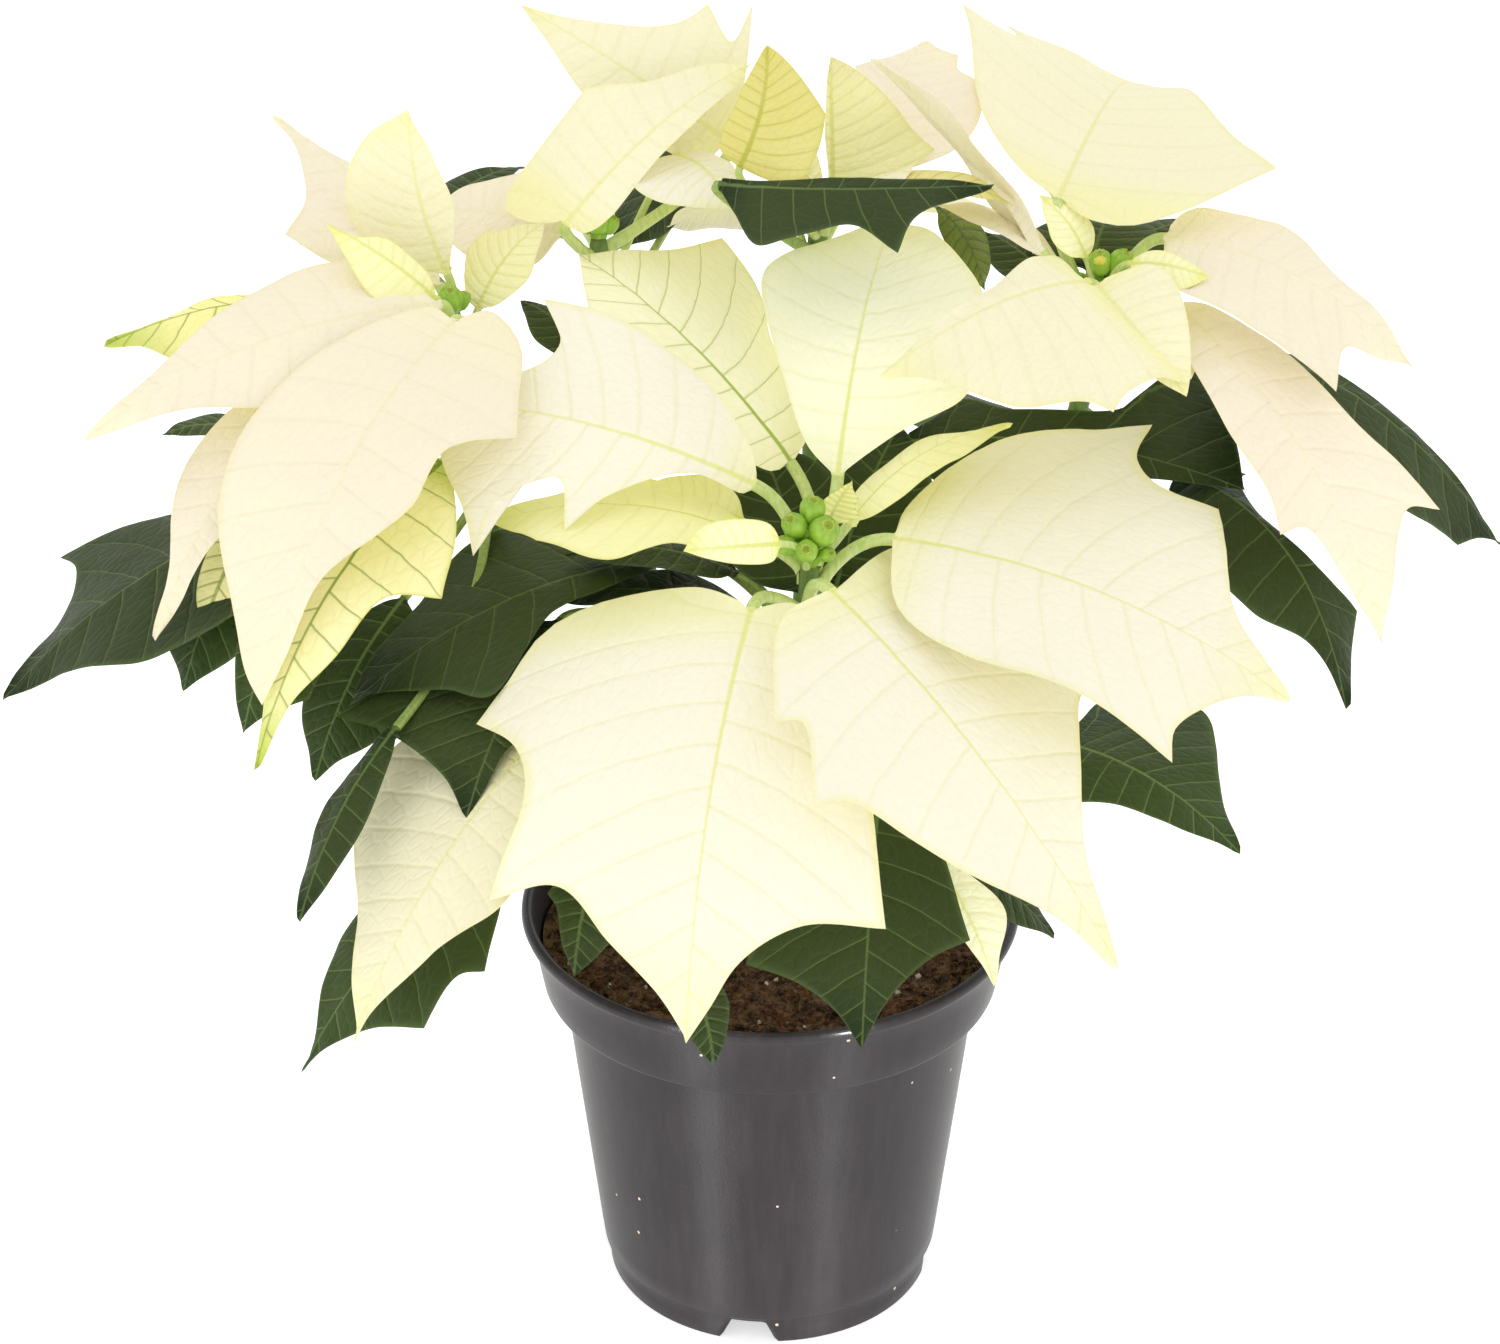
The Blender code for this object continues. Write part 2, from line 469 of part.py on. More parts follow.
def blade_rings(spec):
    """Rings of eight points round the petiole and the blade, and the tip, in the blade's own axes."""
    leafy = spec["colour"] == "leaf"
    radius = LEAF_STALK if leafy else BRACT_STALK
    thickness = LEAF_THICKNESS if leafy else BRACT_THICKNESS
    length, axes = local_axes(spec)
    rows = SHORT_ROWS + round(length / MM_PER_ROW)
    sides = [margin(spec[key], rows, radius / length) for key in ("left", "right")]
    spine = [np.maximum.accumulate(np.clip(vein_start(*side.T), 0, 1)) for side in sides]
    spine = (1 - FAN_SHARE) * (spine[0] + spine[1]) / 2 + FAN_SHARE * np.linspace(0, 1, rows + 1)
    shares = np.array([-1, -0.5, 0, 0.5, 1])
    x, y = [], []
    for share in shares:
        margin_x, margin_y = sides[int(share > 0)].T
        gap = margin_x - vein_place(spine, margin_y)
        x.append(vein_place(spine, margin_y * abs(share)) + gap * share ** 2)
        y.append(-margin_y * share)
    x, y = np.stack(x, 1), np.stack(y, 1)
    top, up = blade_point(spec, x, y)
    low = top - up * thickness / length
    rings = stalk(spec, length, axes, radius)
    for row in range(1, rows):
        rings.append(np.vstack([top[row], low[row, 3:0:-1]]) * length)
    return rings, top[-1, 2] * length, axes


def ring_faces(count, size):
    """Triangles between consecutive rings, a cap on the first and a fan to the tip.

    The upper half of the ring and the lower half are split along the same
    diagonals, so the thin blade's two skins stay side by side.
    """
    faces = [tuple(range(size))]
    for ring in range(count - 1):
        for i in range(size):
            j = (i + 1) % size
            here, there = ring * size, (ring + 1) * size
            if i < size // 2:
                faces += [(here + i, there + i, there + j), (here + i, there + j, here + j)]
            else:
                faces += [(here + i, there + i, here + j), (there + i, there + j, here + j)]
    last = (count - 1) * size
    tip = count * size
    return faces + [(last + i, tip, last + (i + 1) % size) for i in range(size)]


def material(colour):
    made = bpy.data.materials.get(colour)
    if made is None:
        made = bpy.data.materials.new(colour)
        made.use_nodes = True
        shader = made.node_tree.nodes["Principled BSDF"]
        rgb, roughness = COLOURS[colour]
        shader.inputs["Base Color"].default_value = (*rgb, 1)
        shader.inputs["Roughness"].default_value = roughness
        shader.inputs["Metallic"].default_value = 0
    return made


def place(name, data, colour, matrix=None):
    made = bpy.data.objects.new(name, data)
    bpy.context.collection.objects.link(made)
    made.data.materials.append(material(colour))
    if matrix is not None:
        made.matrix_world = matrix
    return made


def solid_mesh(name, points, faces, smooth=True):
    """A mesh from points in metres, with its faces turned outward."""
    built = bmesh.new()
    corners = [built.verts.new(point) for point in points]
    for face in faces:
        built.faces.new([corners[i] for i in face])
    bmesh.ops.recalc_face_normals(built, faces=built.faces)
    mesh = bpy.data.meshes.new(name)
    built.to_mesh(mesh)
    built.free()
    if smooth:
        mesh.shade_smooth()
    return mesh


def make_blade(spec):
    rings, tip, axes = blade_rings(spec)
    points = np.vstack(rings + [tip]) * MM
    mesh = solid_mesh(spec["name"], points.tolist(), ring_faces(len(rings), 8))
    mesh.set_sharp_from_angle(angle=math.radians(60))
    matrix = Matrix(axes.T.tolist()).to_4x4()
    matrix.translation = Vector(spec["base"]) * MM
    return place(spec["name"], mesh, spec["colour"], matrix)


def turned(name, profile, colour, segments):
    """A profile of (radius, height), down its outer side first, turned about Z."""
    mesh = bpy.data.meshes.new(name)
    points = [(radius * MM, 0, height * MM) for radius, height in profile]
    edges = [(i, i + 1) for i in range(len(points) - 1)]
    mesh.from_pydata(points, edges, [])
    made = place(name, mesh, colour)
    screw = made.modifiers.new("Turn", "SCREW")
    screw.steps = segments
    screw.render_steps = segments
    screw.use_merge_vertices = True
    screw.merge_threshold = 0.00001
    screw.use_smooth_shade = True
    return made


def cut(target, name, points, faces):
    cutter = place(name, solid_mesh(name, points, faces, smooth=False), "plastic")
    cutter.hide_render = True
    cutter.display_type = "WIRE"
    modifier = target.modifiers.new(name, "BOOLEAN")
    modifier.operation = "DIFFERENCE"
    modifier.solver = "EXACT"
    modifier.object = cutter


def prism(outline, depth, matrix):
    """An outline in its own XY plane, extruded by depth along Z and placed."""
    count = len(outline)
    points = [matrix @ Vector((x * MM, y * MM, z * MM)) for z in (0, depth) for x, y in outline]
    faces = [tuple(range(count))[::-1], tuple(range(count, 2 * count))]
    faces += [(i, (i + 1) % count, count + (i + 1) % count, count + i) for i in range(count)]
    return points, faces


def make_pot():
    inner_band = BAND_RADIUS - WALL
    profile = [
        (0, 0),
        (CENTRE_PAD_RADIUS, 0),
        (CENTRE_PAD_RADIUS + PAD_DRAFT, PLATE_UNDERSIDE),
        (FOOT_RADIUS - WALL, PLATE_UNDERSIDE),
        (FOOT_RADIUS - WALL, 0),
        (FOOT_RADIUS, 0),
        (FOOT_RADIUS + FOOT_DRAFT, STEP_HEIGHT - 0.6),
        (WALL_FOOT_RADIUS, STEP_HEIGHT + 0.2),
        (WALL_TOP_RADIUS, BAND_BOTTOM - 1.4),
        (BAND_RADIUS - 0.4, BAND_BOTTOM - 0.4),
        (BAND_RADIUS + 0.2, BAND_BOTTOM + 0.5),
        (LIP_RADIUS - 2.4, POT_HEIGHT - 4.5),
        (LIP_RADIUS - 0.5, POT_HEIGHT - 3.4),
        (LIP_RADIUS, POT_HEIGHT - 1.8),
        (LIP_RADIUS - 0.4, POT_HEIGHT - 0.4),
        (LIP_RADIUS - 1.6, POT_HEIGHT),
        (LIP_RADIUS - 3.0, POT_HEIGHT - 0.6),
        (LIP_RADIUS - LIP_ROLL, POT_HEIGHT - LIP_DEPTH),
        (inner_band + 0.2, BAND_BOTTOM + 1.2),
        (WALL_TOP_RADIUS - WALL, BAND_BOTTOM - 0.2),
        (WALL_FOOT_RADIUS - WALL, PLATE_UNDERSIDE + WALL),
        (CENTRE_PAD_RADIUS - PAD_INSIDE_DRAFT, PLATE_UNDERSIDE + WALL),
        (CENTRE_PAD_RADIUS - WALL, WALL),
        (0, WALL),
    ]
    pot = turned("pot", profile[::-1], "plastic", POT_SEGMENTS)
    upright = Matrix(((0, 0, 1, 0), (1, 0, 0, 0), (0, 1, 0, 0), (0, 0, 0, 1)))
    for number, angle in enumerate(NOTCH_ANGLES):
        turn = Matrix.Rotation(math.radians(angle), 4, "Z")
        stand = Matrix.Translation((NOTCH_START * MM, 0, 0)) @ upright
        wide, narrow = NOTCH_BOTTOM / 2, NOTCH_TOP / 2
        outline = [(-wide - 0.4, -1), (wide + 0.4, -1), (narrow, NOTCH_HEIGHT), (-narrow, NOTCH_HEIGHT)]
        cut(pot, f"notch_{number}", *prism(outline, NOTCH_DEPTH, turn @ stand))
    for number, angle in enumerate(DRAIN_ANGLES):
        turn = Matrix.Rotation(math.radians(angle), 4, "Z")
        stand = Matrix.Translation((DRAIN_CIRCLE * MM, 0, DRAIN_START * MM))
        outline = [(DRAIN_RADIUS * math.cos(a), DRAIN_RADIUS * math.sin(a))
                   for a in np.linspace(0, 2 * math.pi, DRAIN_SIDES + 1)[:-1]]
        cut(pot, f"drain_{number}", *prism(outline, DRAIN_DEPTH, turn @ stand))


def make_soil():
    top_radius = LIP_RADIUS - LIP_ROLL - (POT_HEIGHT - LIP_DEPTH - SOIL_TOP) * BAND_SLOPE - SOIL_GAP
    profile = [
        (0, WALL + SOIL_GAP),
        (CENTRE_PAD_RADIUS - WALL - SOIL_GAP, WALL + SOIL_GAP),
        (CENTRE_PAD_RADIUS - PAD_INSIDE_DRAFT - SOIL_GAP, PLATE_UNDERSIDE + WALL + SOIL_GAP),
        (WALL_FOOT_RADIUS - WALL - SOIL_GAP, PLATE_UNDERSIDE + WALL + SOIL_GAP),
        (WALL_TOP_RADIUS - WALL - SOIL_GAP, BAND_BOTTOM + SOIL_GAP),
        (BAND_RADIUS - WALL - SOIL_GAP, BAND_BOTTOM + 1.4 + SOIL_GAP),
        (top_radius, SOIL_TOP - 1.5),
        (top_radius - 2, SOIL_TOP - 0.4),
        (SOIL_LEVEL_RADIUS, SOIL_TOP),
        (SOCKET_RADIUS, SOIL_TOP + SOIL_MOUND),
        (SOCKET_RADIUS, SOCKET_DEPTH),
        (0, SOCKET_DEPTH),
    ]
    turned("soil", profile[::-1], "peat", POT_SEGMENTS)


def make_stem(name, path, radii):
    """A tapering round stem along a path, closed at both ends."""
    curve = bpy.data.curves.new(name, "CURVE")
    curve.dimensions = "3D"
    curve.bevel_depth = MM
    curve.bevel_resolution = 2
    curve.use_fill_caps = True
    spline = curve.splines.new("POLY")
    spline.points.add(len(path) - 1)
    for point, position, radius in zip(spline.points, path, radii):
        point.co = (*(position * MM), 1)
        point.radius = radius
    place(name, curve, "stem")


def make_cyathia(name, top, radius):
    """The tight cluster of small true flowers, as one lobed body."""
    built = bmesh.new()
    bmesh.ops.create_uvsphere(built, u_segments=12, v_segments=8, radius=1)
    for vert in built.verts:
        polar = math.atan2(vert.co.y, vert.co.x)
        lobes = 1 + CYATHIA_LOBE_DEPTH * math.cos(CYATHIA_LOBES * polar) * (1 - vert.co.z ** 2)
        squashed = Vector((vert.co.x * lobes, vert.co.y * lobes, vert.co.z * CYATHIA_SQUASH))
        vert.co = squashed * radius * MM
    mesh = bpy.data.meshes.new(name)
    built.to_mesh(mesh)
    built.free()
    mesh.shade_smooth()
    made = place(name, mesh, "cyathia")
    made.location = Vector((top[0], top[1], top[2] + CYATHIA_SQUASH * radius + STEM_GAP)) * MM


def main():
    for old in list(bpy.data.objects):
        bpy.data.objects.remove(old)
    make_pot()
    make_soil()
    straight = np.linspace([0, 0, MAIN_BOTTOM], [0, 0, MAIN_TOP], 4)
    make_stem("main_stem", straight, np.linspace(*MAIN_RADII, 4))
    for name, branch in BRANCHES.items():
        make_stem("stem_" + name, *branch_path(name, STEM_STEPS))
        make_cyathia("cyathia_" + name, branch[3], CYATHIA[name])
    for spec in SPECS:
        make_blade(spec)


if __name__ == "__main__":
    main()
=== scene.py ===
# %% [markdown]
# # A cream poinsettia in a nursery pot
#
# The plant stands in a thin black pot of dark peat. A short main stem carries
# five side stems, and each ends in a flower head: a tight cluster of small
# green cups, which are the real flowers, inside a collar of cream coloured
# leaves, which are called bracts. Dark green leaves grow below them.
#
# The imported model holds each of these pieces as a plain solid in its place.
# This script keeps their places and builds finer skins over them, each one a
# surface worked out with numpy, and gives every surface its own finish.

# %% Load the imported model
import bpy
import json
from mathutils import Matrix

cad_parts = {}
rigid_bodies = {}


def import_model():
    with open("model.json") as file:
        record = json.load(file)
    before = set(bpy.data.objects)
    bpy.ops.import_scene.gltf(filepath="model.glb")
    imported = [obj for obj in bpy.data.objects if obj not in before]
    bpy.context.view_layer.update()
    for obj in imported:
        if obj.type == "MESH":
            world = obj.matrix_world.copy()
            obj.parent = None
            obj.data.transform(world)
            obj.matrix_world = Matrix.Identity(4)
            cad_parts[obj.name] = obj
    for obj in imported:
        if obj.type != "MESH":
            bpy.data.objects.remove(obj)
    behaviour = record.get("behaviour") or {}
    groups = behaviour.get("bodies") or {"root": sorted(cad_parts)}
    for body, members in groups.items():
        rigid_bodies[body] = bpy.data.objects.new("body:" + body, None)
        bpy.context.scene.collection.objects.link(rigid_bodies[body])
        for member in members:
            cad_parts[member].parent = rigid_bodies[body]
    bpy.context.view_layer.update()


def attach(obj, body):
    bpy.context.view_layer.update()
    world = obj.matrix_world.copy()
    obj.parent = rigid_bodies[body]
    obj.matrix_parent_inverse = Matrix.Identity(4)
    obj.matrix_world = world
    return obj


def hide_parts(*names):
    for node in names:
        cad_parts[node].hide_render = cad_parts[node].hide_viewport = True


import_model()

# %% Libraries and units
import itertools
import json
import math

import bpy
import numpy as np

MM = 0.001


def screen(red, green, blue):
    """The linear colour of a colour picked on a screen, where each channel runs from 0 to 255.

    Each share c of 255 becomes ((c + 0.055) / 1.055) to the power 2.4, or c / 12.92 when very dark.
    """
    share = np.array([red, green, blue]) / 255
    linear = np.where(share <= 0.04045, share / 12.92, ((share + 0.055) / 1.055) ** 2.4)
    return (*linear.tolist(), 1.0)


print("mid grey 128 is", round(screen(128, 128, 128)[0], 3), "in linear light")

# %% [markdown]
# ## Camera, floor and light
#
# The photograph is a studio picture: the camera looks down on the plant from
# a little above, white surroundings light it from all sides, and two tall
# soft boxes draw the upright streaks of light on the pot. Once a lens is
# chosen, the pot's round edges give the camera's tilt and distance, but they
# hardly tell the lens itself. The 85 mm here is a choice, and not a
# measurement. Soft light is easiest from large area lamps and a white world,
# because both blur every shadow.

# %% Camera
CAMERA_PLACE = (-0.0053, -0.792, 0.5945)
CAMERA_TILT = 62.25
LENS, SENSOR = 85, 36

lens = bpy.data.cameras.new("camera")
lens.lens = LENS
lens.sensor_width = SENSOR
camera = bpy.data.objects.new("camera", lens)
camera.location = CAMERA_PLACE
camera.rotation_euler = (math.radians(CAMERA_TILT), 0, 0)
bpy.context.collection.objects.link(camera)
bpy.context.scene.camera = camera
print("camera looks down by", 90 - CAMERA_TILT, "degrees")

# %% Colour handling
# Plain screen colours keep the cream bracts bright and clean.
bpy.context.scene.view_settings.view_transform = "Standard"

# %% Floor
# The paper glows a little in white, so that it comes out almost as white as the photograph's.
FLOOR_SIDE = 6.0
PAPER = {"Base Color": (0.93, 0.93, 0.93, 1), "Roughness": 0.9, "Specular IOR Level": 0.0,
         "Emission Color": (1, 1, 1, 1), "Emission Strength": 0.58}


def flat_square(name, side, height):
    """A level square: corners at plus and minus half the side, at one height."""
    corners = [(x * side / 2, y * side / 2, height) for x, y in ((-1, -1), (1, -1), (1, 1), (-1, 1))]
    mesh = bpy.data.meshes.new(name)
    mesh.from_pydata(corners, [], [(0, 1, 2, 3)])
    made = bpy.data.objects.new(name, mesh)
    bpy.context.collection.objects.link(made)
    return made


floor = flat_square("floor", FLOOR_SIDE, 0.0)
paper = bpy.data.materials.new("white_paper")
paper.use_nodes = True
for socket, value in PAPER.items():
    paper.node_tree.nodes["Principled BSDF"].inputs[socket].default_value = value
floor.data.materials.append(paper)

# %% Lamps
# The two strips light the pot alone: the pot's cell links them to it. Their strength can then
# be set for the pot's streaks without changing the plant. Real lamps would light both.
WORLD_LIGHT = 0.98
PLANT_MIDDLE = (0, 0, 0.18)
# name: (place, width, height, watts); each lamp is aimed at the middle of the plant
LAMPS = {
    "strip_left": ((-0.61, -0.98, 0.36), 0.12, 0.7, 34.0),
    "strip_right": ((0.61, -0.98, 0.36), 0.12, 0.7, 26.0),
    "overhead": ((0.0, -0.45, 1.9), 1.8, 1.8, 0.8),
}

world = bpy.data.worlds.new("white_room")
world.use_nodes = True
world.node_tree.nodes["Background"].inputs["Color"].default_value = (1, 1, 1, 1)
world.node_tree.nodes["Background"].inputs["Strength"].default_value = WORLD_LIGHT
bpy.context.scene.world = world


def aim(place, target):
    """Turns that point an object's -Z from place to target, keeping its Y upward."""
    x, y, z = np.array(target) - np.array(place)
    return math.atan2(math.hypot(x, y), -z), 0.0, math.atan2(-x, y)


for name, (place, width, height, watts) in LAMPS.items():
    lamp = bpy.data.lights.new(name, "AREA")
    lamp.shape = "RECTANGLE"
    lamp.size, lamp.size_y, lamp.energy = width, height, watts
    stand = bpy.data.objects.new(name, lamp)
    stand.location = place
    stand.rotation_euler = aim(place, PLANT_MIDDLE)
    bpy.context.collection.objects.link(stand)
    print(name, "faces the plant from", place)

# %% [markdown]
# ## Two tools for every surface
#
# Each piece is a closed skin: rings of points, one after another, like the
# rings of a basket, with a single point at each end. A leaf is such a basket
# pressed flat, a stem is a long thin one and the pot is a wide one that turns
# back inside itself. One function therefore builds them all. The second tool
# is a smooth noise, for the small unevenness that grown things have.

# %% Smooth noise
LATTICE = 24


def unevenness(points, size, seed):
    """Smooth noise from -1 to 1 at points in millimetres, with lumps about `size` across.

    Random values sit on a cubic lattice. A point blends the eight around it by
    the curve 3t² - 2t³ of its place t in the cell, along each axis.
    """
    values = np.random.default_rng(seed).uniform(-1, 1, (LATTICE,) * 3)
    place = np.asarray(points, float) / size + 1000
    cell = np.floor(place).astype(int)
    t = place - cell
    t = t * t * (3 - 2 * t)
    total = 0
    for corner in itertools.product((0, 1), repeat=3):
        weight = np.prod(np.where(corner, t, 1 - t), axis=-1)
        i, j, k = np.moveaxis((cell + corner) % LATTICE, -1, 0)
        total = total + weight * values[i, j, k]
    return total


print("noise at one point:", round(float(unevenness([[3.0, 5.0, 7.0]], 4.0, 1)[0]), 3))


# %% A closed skin from rings
SHARP_FROM = 75


def closed_skin(name, rings, start, end, maps=None, tags=None, slots=None):
    """A closed mesh from an array of rings (ring, place on it, xyz) in millimetres.

    The mesh as a whole is turned so that its volume is positive, with faces
    outward. Faces still turn inward where neighbouring rings cross.
    Four-sided faces join neighbouring rings and a fan joins each end point to
    its ring. `maps` are UV maps (ring, place, side, uv) whose side says which
    of the two faces at a point is meant, so a map may jump along a line of
    points. `tags` are numbers per point. `slots` gives each band of faces its material.
    """
    count, around = rings.shape[:2]
    points = np.concatenate([rings.reshape(-1, 3), [start, end]]) * MM
    r, k = np.meshgrid(np.arange(count - 1), np.arange(around), indexing="ij")
    n = (k + 1) % around
    quads = np.stack([r * around + k, r * around + n, (r + 1) * around + n, (r + 1) * around + k], -1)
    quads = quads.reshape(-1, 4)
    side = np.arange(around)
    turn = (side + 1) % around
    first, last, seam = count * around, count * around + 1, (count - 1) * around
    fans = np.concatenate([np.stack([np.full(around, first), turn, side], -1),
                           np.stack([np.full(around, last), seam + side, seam + turn], -1)])
    corners = np.concatenate([quads[:, [0, 1, 2]], quads[:, [0, 2, 3]], fans])
    a, b, c = (points[corners[:, i]] for i in range(3))
    outward = (a * np.cross(b, c)).sum() > 0
    order = slice(None) if outward else slice(None, None, -1)
    mesh = bpy.data.meshes.new(name)
    mesh.from_pydata(points.tolist(), [], quads[:, order].tolist() + fans[:, order].tolist())
    for title, uv in (maps or {}).items():
        low, high = uv[:, :, 0], uv[:, :, 1]
        square = np.stack([low[:-1], high[:-1], high[1:], low[1:]], 2).reshape(-1, 4, 2)
        first_fan = np.stack([(low[0] + high[0]) / 2, high[0], low[0]], 1)
        last_fan = np.stack([(low[-1] + high[-1]) / 2, low[-1], high[-1]], 1)
        loops = [square[:, order].reshape(-1, 2)]
        loops += [fan[:, order].reshape(-1, 2) for fan in (first_fan, last_fan)]
        layer = mesh.uv_layers.new(name=title)
        layer.uv.foreach_set("vector", np.concatenate(loops).astype(np.float32).ravel())
    for title, value in (tags or {}).items():
        layer = mesh.attributes.new(title, "FLOAT", "POINT")
        ends = [value[0].mean(), value[-1].mean()]
        layer.data.foreach_set("value", np.concatenate([value.ravel(), ends]).astype(np.float32))
    if slots is not None:
        banded = np.repeat(slots, around)
        ends = np.repeat([slots[0], slots[-1]], around)
        mesh.polygons.foreach_set("material_index", np.concatenate([banded, ends]).astype(np.int32))
    mesh.shade_smooth()
    mesh.set_sharp_from_angle(angle=math.radians(SHARP_FROM))
    return mesh


# %% Putting a piece in the scene
def put(name, mesh, finishes, slot, *nodes):
    """Adds a piece that rides on the plant, wears its finishes and stands for CAD nodes."""
    made = bpy.data.objects.new(name, mesh)
    bpy.context.collection.objects.link(made)
    for finish in finishes:
        mesh.materials.append(finish)
    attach(made, "root")
    if nodes:
        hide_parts(*nodes)
    return made


# %% Tubes along a path
def unit(vectors):
    """Vectors divided by their lengths."""
    return vectors / np.maximum(np.linalg.norm(vectors, axis=-1, keepdims=True), 1e-12)


def side_vectors(path, first):
    """For each path point its direction and two vectors square to it that turn as little as they can.

    The first side vector is carried on from point to point, each time minus
    the part of it that lies along the path.
    """
    along = unit(np.gradient(path, axis=0))
    side, sides = np.array(first, float), []
    for way in along:
        side = unit(side - (side @ way) * way)
        sides.append(side)
    sides = np.array(sides)
    return along, sides, np.cross(along, sides)


def tube(path, radii, around, first=(1.0, 0.0, 0.0), lobes=0.0):
    """Rings of a round tube: path point + radius · (cos a · side + sin a · other side)."""
    _, side, other = side_vectors(path, first)
    a = np.linspace(0, 2 * np.pi, around, endpoint=False)
    width = radii[:, None] * (1 + lobes * np.cos(5 * a))[None]
    turned = np.cos(a)[None, :, None] * side[:, None] + np.sin(a)[None, :, None] * other[:, None]
    return path[:, None] + width[..., None] * turned


upright = np.array([[0, 0, 0.0], [0, 0, 1], [0, 0, 2]])
print("a tube of 3 rings has points", tube(upright, np.ones(3), 8).shape)

# %% [markdown]
# ## Shared effects
#
# Bracts and leaves are built alike: one strong midrib, about ten side veins a
# side that bend towards the tip, and a fine net between them. The net of
# veins is therefore one node group, which every blade finish uses with its own
# strengths. It reads the blade's own maps, because veins have to follow the
# blade wherever it bends. A second group is the mottling of living tissue.


# %% Small helpers for shader nodes
class Nodes:
    """A short way to add shader nodes to a tree and join them."""

    def __init__(self, tree):
        self.tree = tree

    def add(self, kind, **settings):
        prefix = "" if kind.startswith("NodeGroup") else "ShaderNode"
        node = self.tree.nodes.new(prefix + kind)
        for key, value in settings.items():
            setattr(node, key, value)
        return node

    def link(self, value, socket):
        """Joins an output to an input, or sets the input when the value is a plain number or colour."""
        if isinstance(value, bpy.types.NodeSocket):
            self.tree.links.new(value, socket)
        else:
            socket.default_value = value

    def math(self, operation, *values, clamp=False):
        node = self.add("Math", operation=operation, use_clamp=clamp)
        for value, socket in zip(values, node.inputs):
            self.link(value, socket)
        return node.outputs[0]

    def ramp(self, value, low, high, start=0.0, end=1.0):
        """A smooth step from start to end while the value goes from low to high."""
        node = self.add("MapRange", interpolation_type="SMOOTHSTEP")
        for item, socket in zip((value, low, high, start, end), node.inputs):
            self.link(item, socket)
        return node.outputs["Result"]

    def blend(self, share, first, second, kind="MIX"):
        """The second colour laid over the first by a share from 0 to 1."""
        node = self.add("Mix", data_type="RGBA", blend_type=kind)
        self.link(share, node.inputs[0])
        self.link(first, node.inputs[6])
        self.link(second, node.inputs[7])
        return node.outputs[2]

    def noise(self, vector, scale, detail=2.0, roughness=0.5):
        node = self.add("TexNoise")
        self.link(vector, node.inputs["Vector"])
        for key, value in (("Scale", scale), ("Detail", detail), ("Roughness", roughness)):
            self.link(value, node.inputs[key])
        return node.outputs["Fac"]

    def place(self):
        return self.add("TexCoord").outputs["Object"]

    def grey(self, value):
        """A grey colour from one number."""
        node = self.add("CombineColor")
        for socket in node.inputs:
            self.link(value, socket)
        return node.outputs[0]

    def bump(self, height, strength, distance, shader):
        """Tilts the shader's normal by a height, up to a distance in metres."""
        node = self.add("Bump")
        node.inputs["Strength"].default_value = strength
        node.inputs["Distance"].default_value = distance
        self.link(height, node.inputs["Height"])
        self.link(node.outputs["Normal"], shader.inputs["Normal"])


def new_material(name):
    """A material, the short way to add its nodes, and its shader."""
    made = bpy.data.materials.new(name)
    made.use_nodes = True
    return made, Nodes(made.node_tree), made.node_tree.nodes["Principled BSDF"]


def node_group(name, inputs, outputs):
    """An empty group with named number sockets, and its inner ends."""
    tree = bpy.data.node_groups.new(name, "ShaderNodeTree")
    for title, value in inputs.items():
        socket = tree.interface.new_socket(title, in_out="INPUT", socket_type="NodeSocketFloat")
        socket.default_value = value
    for title in outputs:
        tree.interface.new_socket(title, in_out="OUTPUT", socket_type="NodeSocketFloat")
    nodes = Nodes(tree)
    return tree, nodes, nodes.add("NodeGroupInput").outputs, nodes.add("NodeGroupOutput").inputs


# %% The vein net
# The map "blade" holds millimetres along and across the blade, in hundredths.
# The map "veins" counts side veins along the blade, and holds their spacing.
# The midrib is half as wide 45 mm along, and a side vein 30 mm out.
RIB_HALF_AT, VEIN_HALF_AT = 45.0, 30.0
VEIN_WANDER = 0.12
NET_CELL = 3.6
vein_net, n, given, found = node_group(
    "vein net", {"Midrib width": 1.0, "Vein width": 0.3, "Net width": 0.05},
    ["Midrib", "Veins", "Net", "Relief"])
across = n.add("SeparateXYZ")
n.link(n.add("UVMap", uv_map="blade").outputs[0], across.inputs[0])
counted = n.add("SeparateXYZ")
n.link(n.add("UVMap", uv_map="veins").outputs[0], counted.inputs[0])
out_mm = n.math("MULTIPLY", n.math("ABSOLUTE", across.outputs[1]), 100.0)
along_mm = n.math("MULTIPLY", across.outputs[0], 100.0)
forward = n.math("MAXIMUM", along_mm, 0.0)
taper = n.math("DIVIDE", 1.0, n.math("ADD", 1.0, n.math("DIVIDE", forward, RIB_HALF_AT)))
rib = n.math("MULTIPLY", given["Midrib width"], taper)
n.link(n.ramp(out_mm, n.math("MULTIPLY", rib, 0.35), rib, 1.0, 0.0), found["Midrib"])
wander = n.math("MULTIPLY", n.math("SUBTRACT", n.noise(n.place(), 160.0), 0.5), VEIN_WANDER)
count = n.math("ADD", counted.outputs[0], wander)
near = n.math("SUBTRACT", 0.5, n.math("ABSOLUTE", n.math("SUBTRACT", n.math("FRACT", count), 0.5)))
near_mm = n.math("MULTIPLY", n.math("MULTIPLY", near, counted.outputs[1]), 10.0)
thin = n.math("DIVIDE", given["Vein width"], n.math("ADD", 1.0, n.math("DIVIDE", out_mm, VEIN_HALF_AT)))
n.link(n.ramp(near_mm, n.math("MULTIPLY", thin, 0.3), thin, 1.0, 0.0), found["Veins"])
cells = n.add("CombineXYZ")
n.link(n.math("MULTIPLY", count, 2.0), cells.inputs[0])
n.link(n.math("DIVIDE", out_mm, NET_CELL), cells.inputs[1])
mesh_of_cells = n.add("TexVoronoi", feature="DISTANCE_TO_EDGE", voronoi_dimensions="2D")
